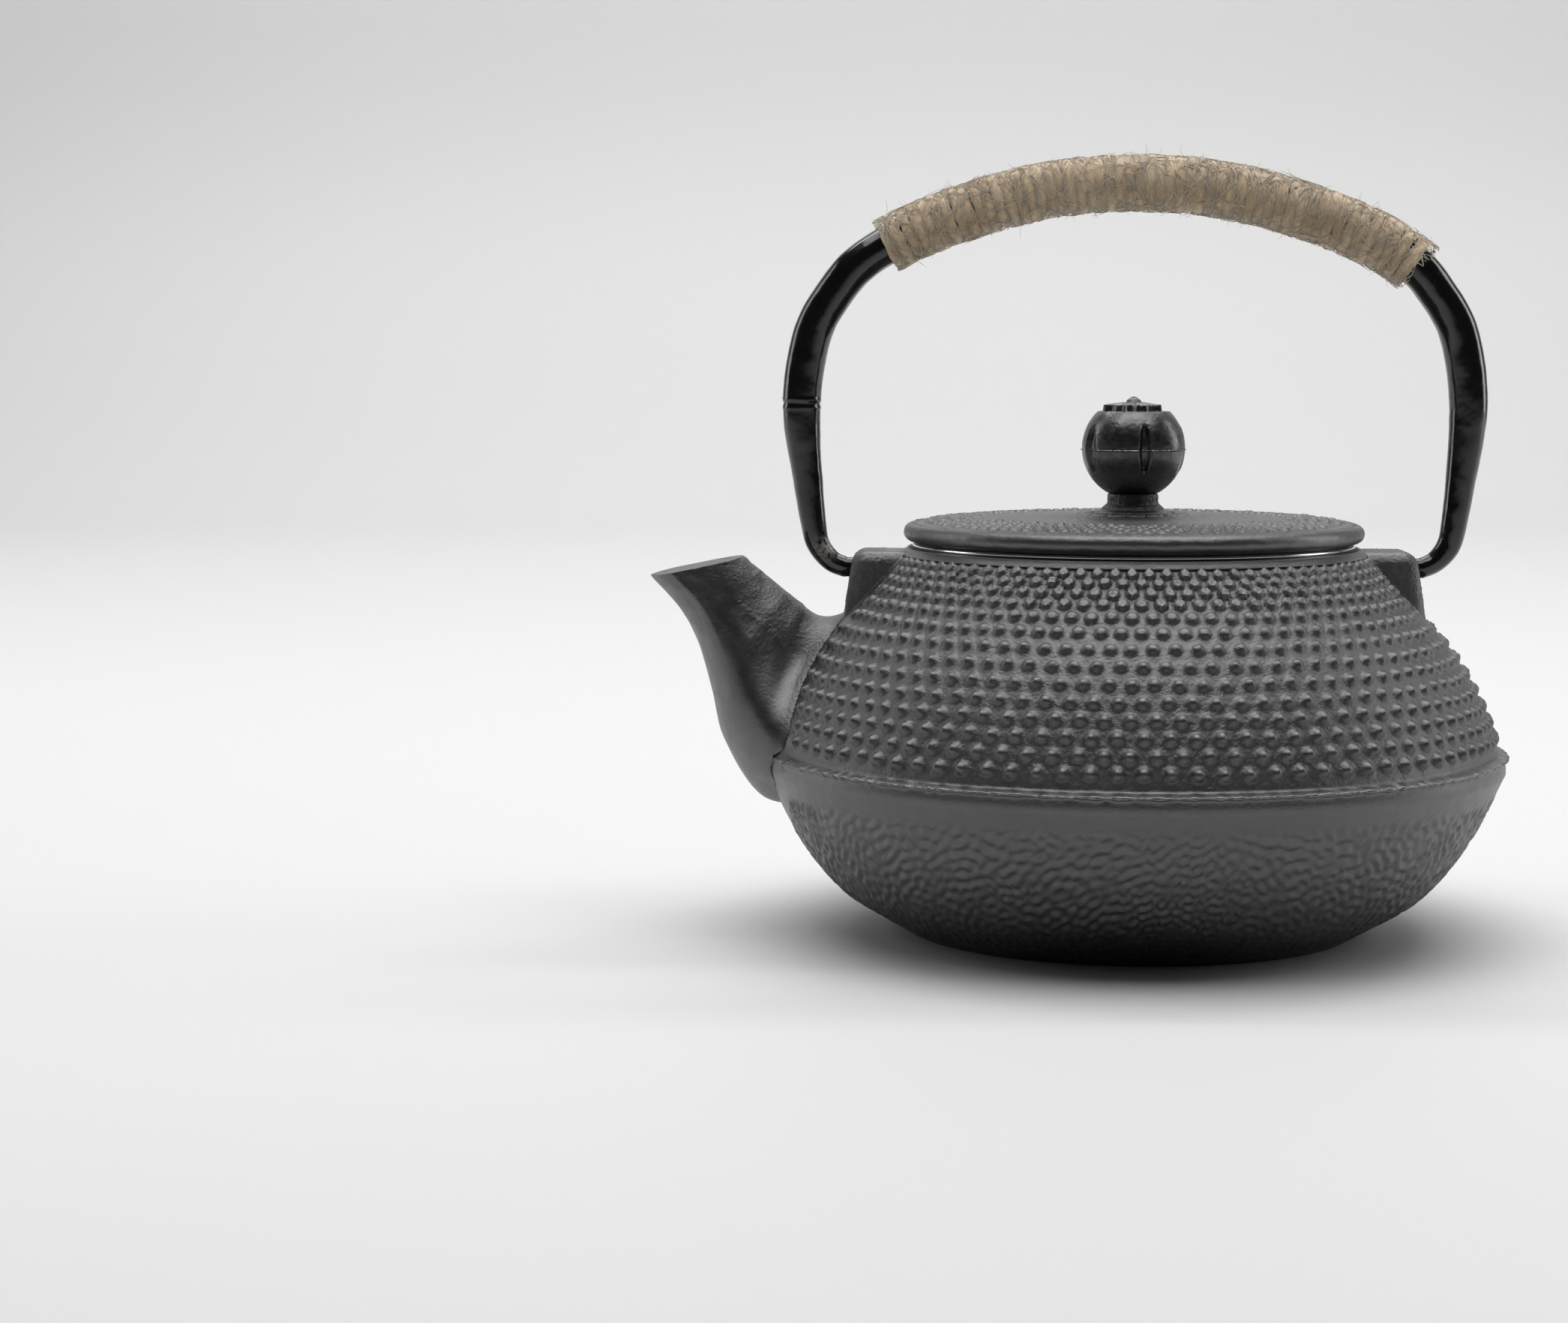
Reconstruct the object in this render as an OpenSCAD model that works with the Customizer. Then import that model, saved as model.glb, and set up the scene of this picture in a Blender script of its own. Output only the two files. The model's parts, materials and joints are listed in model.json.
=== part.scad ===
// Cast iron teapot with a steel mesh infuser, a loose lid and a swinging bail handle.
// Millimetres. +Z is up, the origin is the middle of the flat base, the spout points to -X,
// and the bail swings about an axis along X.

/* [Pot] */
// Radius of the casting line round the widest part of the pot
belly_r = 73.3; // [72.5:0.1:74.5]
// Height of the casting line above the base
belly_z = 35.5; // [34.5:0.1:36.5]
// Radius of the foot of the collar, where the shoulder starts
collar_r = 46; // [45.5:0.1:46.5]
// Height of the top of the collar
collar_z = 75.6; // [75:0.1:76]
// Height of the collar above the shoulder
collar_h = 1.8; // [1.4:0.1:2.4]
// Slope of the straight part of the shoulder, in degrees below level
shoulder_slope = 47.4; // [46.5:0.1:48]
// Length of the straight part of the shoulder
shoulder_run = 16.7; // [15:0.1:18]
// Radius of the rounding from the shoulder to the belly
shoulder_r = 62; // [60:0.5:64]
// Radius of the flat base
base_r = 44.4; // [43:0.1:46]
// Thickness of the cast wall
wall = 3.4; // [2.8:0.1:3.8]
// Radius of the mouth that the infuser drops into
mouth_r = 40; // [39.6:0.1:41]

/* [Spout] */
// Thickness of the spout wall
spout_wall = 2.8; // [2.2:0.1:3.2]
// Squareness of the spout's section, where 1 is an ellipse
spout_power = 0.9; // [0.8:0.05:1]

/* [Lugs] */
// Height of the hinge axis of the bail
hinge_z = 71.5; // [71:0.1:72]
// Height of the top of each lug
lug_z = 75; // [74.8:0.1:75.2]
// Reach of each lug from the pot's axis, at its top
lug_reach = 55; // [54:0.1:55.4]
// Width of each lug
lug_w = 15; // [12:0.5:18]
// Radius of the rounded edges of each lug
lug_edge_r = 2.4; // [1:0.1:2.8]

/* [Bail] */
// Radius of each hinge pin of the bail
pin_r = 1.9; // [1.7:0.05:2]
// Radial play of a hinge pin in its lug
pin_play = 0.07; // [0.02:0.01:0.1]
// Radius of the bail where the hand holds it
bail_r = 3.8; // [3.4:0.1:4.2]
// Height of the middle of the bail at its top
bail_top_z = 146.9; // [145:0.1:149]
// Radius of the long arc over the top of the bail
bail_arc_r = 102.9; // [100:0.1:106]
// Radius of the twine wrap round the bail
wrap_r = 5.3; // [5:0.1:5.6]

/* [Lid] */
// Outer radius of the lid
lid_r = 45.2; // [44.8:0.1:45.6]
// Thickness of the lid casting
lid_t = 3; // [2.6:0.1:3.2]
// Height of the middle of the lid above its outer edge's upper side
lid_dome = 1.4; // [1:0.1:1.8]
// Depth of the ring under the lid that centres it
lid_skirt_h = 6; // [4:0.5:8]
// Height of the boss that carries the knob, above the lid
boss_h = 4.5; // [4:0.1:5]
// Number of petals in the low flower round the boss
petals = 16; // [12:1:20]

/* [Knob] */
// Radius of the knob's ball
ball_r = 10.1; // [9.5:0.1:10.6]
// Number of grooves, and of points on the star on top
knob_lobes = 5; // [4:1:6]

/* [Infuser] */
// Outer radius of the steel rim
rim_r = 43.4; // [42.6:0.1:44]
// Thickness of the steel rim
rim_t = 0.8; // [0.6:0.1:1]
// Outer radius of the infuser's basket
basket_r = 38.8; // [38.4:0.1:39]
// Height of the underside of the basket above the base
basket_z = 24; // [20:1:30]

/* [Hidden] */
$fn = 96;

iron = [0.16, 0.16, 0.17];
black_enamel = [0.08, 0.08, 0.09];
steel = [0.8, 0.8, 0.82];
jute = [0.82, 0.68, 0.46];

// Outline of the pot: straight shoulder, round belly, smooth bowl
shoulder_top = [collar_r, collar_z - collar_h];
shoulder_end = shoulder_top + shoulder_run * [cos(shoulder_slope), -sin(shoulder_slope)];
shoulder_mid = shoulder_end - shoulder_r * [sin(shoulder_slope), cos(shoulder_slope)];
belly_top = belly_z + 1.2;
belly_angle = asin((belly_top - shoulder_mid.y) / shoulder_r);
bowl_top = belly_z - 2.9;
bowl_points = [[belly_r - 0.3, bowl_top], [belly_r * 0.903, bowl_top * 0.58],
               [belly_r * 0.793, bowl_top * 0.27], [belly_r * 0.673, bowl_top * 0.095],
               [base_r, 0]];
flash = [[belly_r - 1.2, belly_z + 0.5], [belly_r, belly_z + 0.2], [belly_r, belly_z - 0.2],
         [belly_r - 0.3, belly_z - 0.5]];

// Spout sections, from inside the belly to the mouth: upper edge x and z, lower edge x and z,
// half width, and how much narrower the upper half is than the lower half
spout_sections = [[-50, 57, -58, 24, 20, 0.5], [-62, 61.9, -72.5, 25.6, 19, 0.5],
                  [-65.5, 64.3, -80.6, 37, 15.5, 0.35], [-69, 67.1, -83.3, 47.4, 12.5, 0.2],
                  [-72.5, 69.9, -86, 56.5, 10.6, 0.1], [-74.6, 71.6, -89.6, 63.4, 9.8, 0.05],
                  [-76.9, 73.6, -95.4, 69.8, 9.2, 0]];

// Middle line of one half of the bail, from the pin to the start of the top arc: x, z and radius
pin_end_x = 48.8;
pin_out_x = 56.8;
shoulder_step = 0.15;
leg_points = [[pin_out_x, hinge_z, pin_r + shoulder_step], [59.4, hinge_z + 1.2, 2.1],
              [61.8, hinge_z + 4, 2.3], [62.9, 79.3, 2.5], [64.3, 90, 3], [65.5, 104, bail_r],
              [63.2, 118.3, bail_r], [58.9, 125.4, bail_r]];
bail_arc_z = bail_top_z - bail_arc_r;
bail_arc_x = [53.5, 40, 20];
arc_points = [for (x = bail_arc_x) [x, bail_arc_z + sqrt(bail_arc_r ^ 2 - x ^ 2), bail_r]];
bail_half = concat(leg_points, arc_points);
bail_last = len(bail_half) - 1;
bail_points = concat(bail_half, [[0, bail_top_z, bail_r]],
                     [for (i = [bail_last:-1:0]) [-bail_half[i].x, bail_half[i].y, bail_half[i].z]]);
bail_steps = 4;
bail_sides = 16;
// The wrap starts and ends at these places along the bail, in steps
wrap_first = 8 * bail_steps;
wrap_last = 13 * bail_steps + 2;

// Lid heights
rim_top = collar_z + rim_t;
lid_edge_z = rim_top + 0.4;
lid_edge_top = lid_edge_z + 3.5;
lid_top = lid_edge_top + lid_dome;
lid_under = lid_top - lid_t;
lid_edge_r = 1.75;
skirt_r = basket_r - rim_t - 0.5;
skirt_t = 2;
lid_skirt_z = rim_top - lid_skirt_h;

petal_t = 0.8;
petal_r = 11.15;
boss_r = 5;
boss_top = lid_top + boss_h;

// Knob and screw
ball_z = boss_top + 8.9;
ball_flat = 7.2;
star_r = 6.05;
star_t = 1.35;
screw_r = 1.95;
screw_hole_r = 2.2;
screw_head_r = 3.6;
screw_head_h = 2.6;
screw_washer_r = 5.2;
screw_washer_t = 0.8;
screw_top = boss_top + 6;

// Infuser heights
neck_h = 10.4;
neck_z = rim_top - neck_h;
ring_h = 3;
mesh_t = 0.6;

// A point on the smooth curve through p, after its point i
function curve_point(p, i, t) =
    let (a = p[max(i - 1, 0)], b = p[i], c = p[i + 1], d = p[min(i + 2, len(p) - 1)])
    0.5 * (2 * b + (c - a) * t + (2 * a - 5 * b + 4 * c - d) * t * t
           + (3 * b - a - 3 * c + d) * t * t * t);
// The smooth curve through p, with steps pieces between its points
function curve(p, steps) = concat(
    [for (i = [0:len(p) - 2]) for (k = [0:steps - 1]) curve_point(p, i, k / steps)],
    [p[len(p) - 1]]);
// Points on an arc
function arc(middle, r, from, to, steps) =
    [for (k = [0:steps]) let (a = from + (to - from) * k / steps)
        middle + r * [cos(a), sin(a)]];
// A line of points moved inwards by d
function inset(p, d) = [for (i = [0:len(p) - 1])
    let (along = p[min(i + 1, len(p) - 1)] - p[max(i - 1, 0)])
    p[i] + d * [along.y, -along.x] / norm(along)];

shoulder_line = concat([shoulder_top],
                       arc(shoulder_mid, shoulder_r, 90 - shoulder_slope, belly_angle, 10));
bowl_line = curve(bowl_points, 4);
cavity_line = inset(concat(shoulder_line, bowl_line), wall);

// Faces that close a stack of rings of n points each
function ring_faces(rings, n) = concat(
    [[for (k = [0:n - 1]) k]],
    [for (i = [0:rings - 2]) for (k = [0:n - 1])
        let (a = i * n + k, b = i * n + (k + 1) % n)
        each [[a, a + n, b + n], [a, b + n, b]]],
    [[for (k = [n - 1:-1:0]) (rings - 1) * n + k]]);

module stack(rings) {
    polyhedron(points = [for (ring = rings) each ring],
               faces = ring_faces(len(rings), len(rings[0])));
}

// Rises smoothly from 0 to 1 as t goes from low to high
function ease(t, low, high) =
    let (u = min(max((t - low) / (high - low), 0), 1)) u * u * (3 - 2 * u);

// One ring of the spout, as a rounded section made smaller by a wall thickness
function spout_ring(s, inward) =
    let (top = [s[0], 0, s[1]], low = [s[2], 0, s[3]],
         middle = (top + low) / 2,
         half = (top - low) / 2,
         tall = half * (1 - inward / norm(half)),
         pinch = s[5],
         wide = [0, s[4] - inward, 0])
    [for (k = [0:23]) let (c = cos(k * 15), s = sin(k * 15))
        middle + tall * sign(c) * abs(c) ^ spout_power
        + wide * (1 - pinch * ease(c, -0.35, 0.6)) * sign(s) * abs(s) ^ spout_power];

module spout_shape(inward, extra) {
    line = curve(spout_sections, 2);
    last = line[len(line) - 1];
    beyond = last + extra * (last - line[len(line) - 2]);
    all = extra > 0 ? concat(line, [beyond]) : line;
    stack([for (s = all) spout_ring(s, inward)]);
}

module lug() {
    foot_z = lug_z - 17;
    face_lean = 2.6;
    inner_x = mouth_r + 1;
    side = concat([[inner_x, lug_z], [inner_x, foot_z], [lug_reach + face_lean, foot_z]],
                  arc([lug_reach - lug_edge_r, lug_z - lug_edge_r], lug_edge_r, 12, 90, 6));
    front = concat([[-lug_w / 2 - 1, foot_z], [lug_w / 2 + 1, foot_z]],
                   arc([lug_w / 2 - lug_edge_r, lug_z - lug_edge_r], lug_edge_r, 0, 90, 6),
                   arc([lug_edge_r - lug_w / 2, lug_z - lug_edge_r], lug_edge_r, 90, 180, 6));
    intersection() {
        translate([0, lug_w, 0]) rotate([90, 0, 0]) linear_extrude(2 * lug_w) polygon(side);
        rotate([90, 0, 90]) linear_extrude(belly_r) polygon(front);
    }
}

module pot_body() color(iron) difference() {
    union() {
        rotate_extrude() polygon(concat(
            [[0, 0], [0, collar_z - 1], [collar_r - 1.5, collar_z]],
            shoulder_line, flash, bowl_line));
        spout_shape(0, 0);
        for (side = [0, 1]) mirror([side, 0, 0]) lug();
    }
    rotate_extrude() polygon(concat(
        [[0, wall + 0.2], [0, collar_z - 6], [mouth_r - 1, collar_z - 6]],
        [for (p = cavity_line) [p.x, max(p.y, wall + 0.2)]]));
    translate([0, 0, collar_z / 2]) cylinder(r = mouth_r, h = collar_z);
    spout_shape(spout_wall, 0.6);
    for (side = [0, 1]) mirror([side, 0, 0])
        translate([pin_end_x - 0.3, 0, hinge_z]) rotate([0, 90, 0])
            cylinder(r = pin_r + pin_play, h = belly_r - pin_end_x);
}

module tube(outer_r, inner_r, z, h) {
    translate([0, 0, z]) difference() {
        cylinder(r = outer_r, h = h);
        translate([0, 0, -1]) cylinder(r = inner_r, h = h + 2);
    }
}

module infuser_rim() color(steel) {
    tube(rim_r, basket_r - mesh_t, collar_z, rim_t);
    tube(basket_r, basket_r - mesh_t, neck_z, neck_h);
}

module infuser_wall() color(steel)
    tube(basket_r, basket_r - mesh_t, basket_z + ring_h, neck_z - basket_z - ring_h);

module infuser_base_ring() color(steel) {
    tube(basket_r, basket_r - mesh_t, basket_z, ring_h);
    tube(basket_r, basket_r - 4, basket_z, 1);
}

module infuser_floor() color(steel)
    translate([0, 0, basket_z + 1]) cylinder(r = basket_r - mesh_t - 0.1, h = mesh_t);

module lid_plate() color(iron) {
    crown = [lid_r - lid_edge_r, lid_edge_top - lid_edge_r];
    petal_round = petal_r * sin(180 / petals) / (1 + sin(180 / petals));
    plate_top = lid_top + petal_t;
    rotate_extrude() polygon(concat(
        [[screw_hole_r, lid_under], [screw_hole_r, boss_top], [boss_r - 0.3, boss_top],
         [boss_r, boss_top - 0.3], [boss_r, plate_top + 1.6], [boss_r + 0.9, plate_top + 1.2],
         [boss_r + 2.4, plate_top + 0.4], [boss_r + 2.8, plate_top],
         [petal_r - petal_round, plate_top], [petal_r - petal_round, lid_top],
         [lid_r * 0.7, lid_top - lid_dome * 0.35], [lid_r - 2.1, lid_edge_top]],
        arc(crown, lid_edge_r, 80, -80, 10),
        [[lid_r - 2.4, lid_edge_z], [lid_r - 2.7, rim_top], [skirt_r, rim_top],
         [skirt_r, lid_skirt_z], [skirt_r - skirt_t, lid_skirt_z],
         [skirt_r - skirt_t, lid_edge_z], [screw_washer_r + 0.8, lid_under]]));
    for (i = [0:petals - 1]) rotate(i * 360 / petals)
        translate([petal_r - petal_round, 0, lid_top - petal_t])
            cylinder(r = petal_round + 0.1, h = 2 * petal_t);
}

module knob() color(black_enamel) {
    groove_r = 5.6;
    groove_w = 2.1;
    groove_depth = 1.1;
    groove_turn = -80;
    star_turn = -31;
    star = [for (i = [0:2 * knob_lobes - 1])
        let (r = i % 2 == 0 ? star_r : star_r * 0.55, a = star_turn + i * 180 / knob_lobes)
        r * [cos(a), sin(a)]];
    difference() {
        union() {
            difference() {
                translate([0, 0, ball_z]) sphere(r = ball_r);
                translate([0, 0, ball_z + ball_flat]) cylinder(r = ball_r, h = ball_r);
                translate([0, 0, boss_top - ball_r]) cylinder(r = ball_r, h = ball_r);
                for (i = [0:knob_lobes - 1]) rotate(i * 360 / knob_lobes + groove_turn)
                    translate([ball_r - groove_depth + groove_r, groove_w / 2, ball_z])
                        rotate([90, 0, 0]) cylinder(r = groove_r, h = groove_w);
            }
            translate([0, 0, ball_z + ball_flat]) linear_extrude(star_t) polygon(star);
            translate([0, 0, ball_z + ball_flat]) cylinder(r = star_r * 0.6, h = star_t);
            translate([0, 0, ball_z + ball_flat]) cylinder(r = 1.35, h = star_t + 1.3);
        }
        translate([0, 0, boss_top - 1]) cylinder(r = screw_r + 0.05, h = screw_top - boss_top + 1.5);
    }
}

module knob_screw() color(steel) {
    head_z = lid_under - screw_washer_t - screw_head_h;
    translate([0, 0, head_z]) difference() {
        union() {
            cylinder(r = screw_head_r, h = screw_head_h);
            cylinder(r = screw_r, h = screw_top - head_z);
        }
        for (turn = [0, 90]) rotate(turn) cube([4, 1, 2.4], center = true);
    }
}

module screw_washer() color(steel)
    tube(screw_washer_r, screw_hole_r, lid_under - screw_washer_t, screw_washer_t);

// Rings round a stretch of the bail's middle line, at its own radius or at radius r
function bail_rings(first, last, r) =
    let (line = curve(bail_points, bail_steps), end = len(line) - 1)
    [for (i = [first:last])
        let (along = i == 0 || i == end ? [1, 0]
                 : [line[i + 1].x - line[i - 1].x, line[i + 1].y - line[i - 1].y],
             across = [-along.y, along.x] / norm(along),
             round = r > 0 ? r : line[i].z)
        [for (k = [0:bail_sides - 1]) let (a = k * 360 / bail_sides)
            [line[i].x + round * cos(a) * across.x, -round * sin(a),
             line[i].y + round * cos(a) * across.y]]];

module bail_bar() {
    stack(bail_rings(0, (len(bail_points) - 1) * bail_steps, 0));
}

module bail() color(black_enamel) {
    bail_bar();
    for (side = [0, 1]) mirror([side, 0, 0])
        translate([pin_end_x, 0, hinge_z]) rotate([0, 90, 0])
            cylinder(r = pin_r, h = pin_out_x - pin_end_x + 1);
}

module grip_wrap() color(jute) difference() {
    stack(bail_rings(wrap_first, wrap_last, wrap_r));
    bail_bar();
}

pot_body();
infuser_rim();
infuser_wall();
infuser_base_ring();
infuser_floor();
lid_plate();
knob();
knob_screw();
screw_washer();
bail();
grip_wrap();
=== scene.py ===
"""Looks of the cast iron teapot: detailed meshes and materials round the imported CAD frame."""
import json
import math

import bmesh
import bpy
import numpy as np
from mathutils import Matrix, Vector


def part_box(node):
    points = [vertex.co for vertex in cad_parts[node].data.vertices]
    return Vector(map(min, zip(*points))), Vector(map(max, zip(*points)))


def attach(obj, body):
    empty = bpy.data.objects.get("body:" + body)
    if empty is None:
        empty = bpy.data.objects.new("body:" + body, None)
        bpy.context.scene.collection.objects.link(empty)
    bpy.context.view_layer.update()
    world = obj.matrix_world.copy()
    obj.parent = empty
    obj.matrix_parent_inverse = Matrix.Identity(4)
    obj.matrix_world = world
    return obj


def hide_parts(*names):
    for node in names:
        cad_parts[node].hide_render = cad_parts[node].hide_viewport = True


MM = 0.001
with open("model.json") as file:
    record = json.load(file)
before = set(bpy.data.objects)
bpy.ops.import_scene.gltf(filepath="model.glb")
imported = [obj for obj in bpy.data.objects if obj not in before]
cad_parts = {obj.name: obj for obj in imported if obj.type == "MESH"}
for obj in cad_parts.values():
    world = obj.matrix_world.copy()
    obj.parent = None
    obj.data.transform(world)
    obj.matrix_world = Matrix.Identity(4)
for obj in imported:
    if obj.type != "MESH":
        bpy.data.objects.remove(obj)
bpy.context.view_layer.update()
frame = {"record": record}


# ---- places taken from the frame
def corners_mm(node):
    return [np.array(corner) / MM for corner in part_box(node)]


pot_high = corners_mm("pot_body")[1]
rim_high = corners_mm("infuser_rim")[1]
wrap_low, wrap_high = corners_mm("grip_wrap")
hinge = next(j for j in frame["record"]["behaviour"]["joints"] if j["name"] == "handle_swing")

BELLY_R = pot_high[0]
COLLAR_Z = pot_high[2]
HINGE_Z = hinge["pos_m"][2] / MM
BELLY_Z, BASE_R, WALL = 35.5, 44.4, 3.4
COLLAR_R, COLLAR_H, MOUTH_R = 46.0, 1.8, 40.0
SHOULDER_SLOPE, SHOULDER_RUN, SHOULDER_R = math.radians(47.4), 16.7, 62.0


# ---- small tools
def ease(t, low, high):
    u = np.clip((np.asarray(t, float) - low) / (high - low), 0, 1)
    return u * u * (3 - 2 * u)


def spline(points, steps):
    """The smooth curve through points, with steps pieces between neighbours."""
    p = np.array(points, float)
    out = []
    for i in range(len(p) - 1):
        a, b, c, d = p[max(i - 1, 0)], p[i], p[i + 1], p[min(i + 2, len(p) - 1)]
        for t in np.arange(steps) / steps:
            out.append(0.5 * (2 * b + (c - a) * t + (2 * a - 5 * b + 4 * c - d) * t * t
                              + (3 * b - a - 3 * c + d) * t ** 3))
    return np.array(out + [p[-1]])


def distances(line):
    """How far each point lies along a line."""
    return np.concatenate([[0], np.cumsum(np.linalg.norm(np.diff(line, axis=0), axis=1))])


def resampled(line, far, count):
    """A line of points walked again with count points, far being its distances."""
    at = np.linspace(0, far[-1], count)
    return np.stack([np.interp(at, far, line[:, k]) for k in range(line.shape[1])], axis=1)


def evenly(line, gap):
    """A line of points walked again with about the same gap between points."""
    far = distances(line[:, :2])
    return resampled(line, far, max(2, int(round(far[-1] / gap)) + 1))


def round_angles(count):
    return np.arange(count) * 2 * math.pi / count


def outward(line):
    """Unit normals of an (r, z) line that runs down the outside of a pot."""
    along = np.gradient(line, axis=0)
    normal = np.stack([-along[:, 1], along[:, 0]], axis=1)
    return normal / np.linalg.norm(normal, axis=1, keepdims=True)


def random_waves(rows, columns, row_mm, column_mm, seed):
    """Spectrum of a random field, and the frequencies of its rows and columns."""
    rng = np.random.default_rng(seed)
    spectrum = np.fft.fft2(rng.standard_normal((rows, columns)))
    return spectrum, np.fft.fftfreq(rows, row_mm)[:, None], np.fft.fftfreq(columns, column_mm)[None, :]


def band_noise(rows, columns, row_mm, column_mm, wave, spread, seed, stretch=1.0, lean=0.0):
    """Random field with waves of about one length, seamless round the columns, from -1 to 1."""
    spectrum, fy, fx = random_waves(rows, columns, row_mm, column_mm, seed)
    along, across = fx + lean * fy, fy - lean * fx
    f = np.sqrt((along * stretch) ** 2 + across ** 2)
    keep = np.exp(-((f - 1 / wave) / (spread / wave)) ** 2)
    field = np.real(np.fft.ifft2(spectrum * keep))
    return np.tanh(field / field.std() * 0.8)


def soft_noise(rows, columns, row_mm, column_mm, wave, seed):
    """Smooth random field with all waves longer than one length, from about -1 to 1."""
    spectrum, fy, fx = random_waves(rows, columns, row_mm, column_mm, seed)
    field = np.real(np.fft.ifft2(spectrum * np.exp(-(fx ** 2 + fy ** 2) * wave ** 2)))
    return field / (field.std() * 2)


def new_object(name, verts_mm, faces, material=None):
    mesh = bpy.data.meshes.new(name)
    mesh.from_pydata((np.asarray(verts_mm, float) * MM).tolist(), [], faces)
    mesh.validate()
    mesh.polygons.foreach_set("use_smooth", [True] * len(mesh.polygons))
    mesh.update()
    obj = bpy.data.objects.new(name, mesh)
    bpy.context.collection.objects.link(obj)
    if material:
        mesh.materials.append(material)
    return obj


def grid_faces(rows, columns):
    """Quads between rows of points, each row a closed ring."""
    i = np.arange(rows - 1)[:, None]
    j = np.arange(columns)[None, :]
    k = (j + 1) % columns
    quads = np.stack(np.broadcast_arrays(i * columns + j, i * columns + k,
                                         (i + 1) * columns + k, (i + 1) * columns + j), axis=-1)
    return quads.reshape(-1, 4).tolist()


def turned_faces(rows, columns):
    """The same quads the other way round, for rows that run down an outside."""
    return [f[::-1] for f in grid_faces(rows, columns)]


def looped_faces(rows, columns):
    """Quads of a ring whose last row joins its first."""
    faces = turned_faces(rows, columns)
    last = (rows - 1) * columns
    for k in range(columns):
        j = (k + 1) % columns
        faces.append((last + k, last + j, j, k)[::-1])
    return faces


def capped_faces(rows, columns):
    """Quads between rows, with one flat face over the first row and one over the last."""
    faces = turned_faces(rows, columns)
    faces.append(list(range(columns)))
    faces.append([(rows - 1) * columns + k for k in range(columns)][::-1])
    return faces


def fanned_faces(rows, columns):
    """Quads between rows, with fans to two centres that follow the last row."""
    total = rows * columns
    faces = turned_faces(rows, columns)
    faces += fan(list(range(columns)), total, False)
    return faces + fan([total - columns + k for k in range(columns)], total + 1, True)


def fan(ring, centre, flip):
    """Triangles from a ring of points to its centre."""
    n = len(ring)
    return [(ring[(k + 1) % n], ring[k], centre) if flip else (ring[k], ring[(k + 1) % n], centre)
            for k in range(n)]


def tube(points, radii, sides, up):
    """Vertices and faces of a closed tube along points. radii may be one per point or a grid."""
    p = np.asarray(points, float)
    along = np.gradient(p, axis=0)
    along /= np.linalg.norm(along, axis=1, keepdims=True)
    u = np.asarray(up, float)
    u = u - (u * along).sum(axis=1, keepdims=True) * along
    u /= np.linalg.norm(u, axis=1, keepdims=True)
    v = np.cross(along, u)
    a = round_angles(sides)
    r = np.asarray(radii, float)
    r = r[:, None] if r.ndim == 1 else r
    ring = (p[:, None] + (r * np.cos(a))[..., None] * u[:, None]
            + (r * np.sin(a))[..., None] * v[:, None])
    faces = grid_faces(len(p), sides)
    faces.append(list(range(sides))[::-1])
    faces.append([(len(p) - 1) * sides + k for k in range(sides)])
    return ring.reshape(-1, 3), faces


def revolve(line, columns, offset=None):
    """Points of an (r, z) line turned round the Z axis; offset moves them along z, per point."""
    a = round_angles(columns)
    r = line[:, 0][:, None] + np.zeros(columns)
    z = line[:, 1][:, None] + (0 if offset is None else offset)
    return np.stack([r * np.cos(a), r * np.sin(a), z + np.zeros_like(r)], axis=-1)


def set_attribute(obj, name, values):
    layer = obj.data.attributes.new(name, "FLOAT", "POINT")
    layer.data.foreach_set("value", np.asarray(values, np.float32).ravel())


def boolean(obj, tool, operation):
    """Joins a tool to an object, or cuts it out, and removes the tool."""
    step = obj.modifiers.new(operation, "BOOLEAN")
    step.operation, step.object, step.solver = operation, tool, "MANIFOLD"
    apply_modifiers(obj)
    bpy.data.objects.remove(tool, do_unlink=True)


def apply_modifiers(obj):
    """Puts an object's modifiers into its mesh."""
    graph = bpy.context.evaluated_depsgraph_get()
    made = bpy.data.meshes.new_from_object(obj.evaluated_get(graph))
    old = obj.data
    obj.modifiers.clear()
    obj.data = made
    made.name = old.name
    bpy.data.meshes.remove(old)


def points_mm(obj):
    flat = np.empty(len(obj.data.vertices) * 3, np.float32)
    obj.data.vertices.foreach_get("co", flat)
    return flat.reshape(-1, 3).astype(float) / MM


def move_points(obj, points):
    obj.data.vertices.foreach_set("co", (points * MM).astype(np.float32).ravel())
    obj.data.update()


# ---- camera
def make_camera():
    """The photograph's viewpoint: 643 mm away, 4 degrees towards the spout, 115 mm up."""
    away, side, height = 642.6 * MM, math.radians(4.0), 114.9 * MM
    turn, tilt = math.radians(6.15 - 4.0), math.radians(-5.55)
    lens, sensor = 74.3, 36
    data = bpy.data.cameras.new("camera")
    data.sensor_width, data.lens = sensor, lens
    data.clip_start, data.clip_end = 0.01, 50
    camera = bpy.data.objects.new("camera", data)
    camera.location = (-away * math.sin(side), -away * math.cos(side), height)
    camera.rotation_euler = (math.pi / 2 + tilt, 0, turn)
    bpy.context.collection.objects.link(camera)
    bpy.context.scene.camera = camera


# ---- materials
GREY = (0.5, 0.5, 0.5, 1)
PAINT_IOR, PLAIN_IOR = 1.65, 1.5


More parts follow.
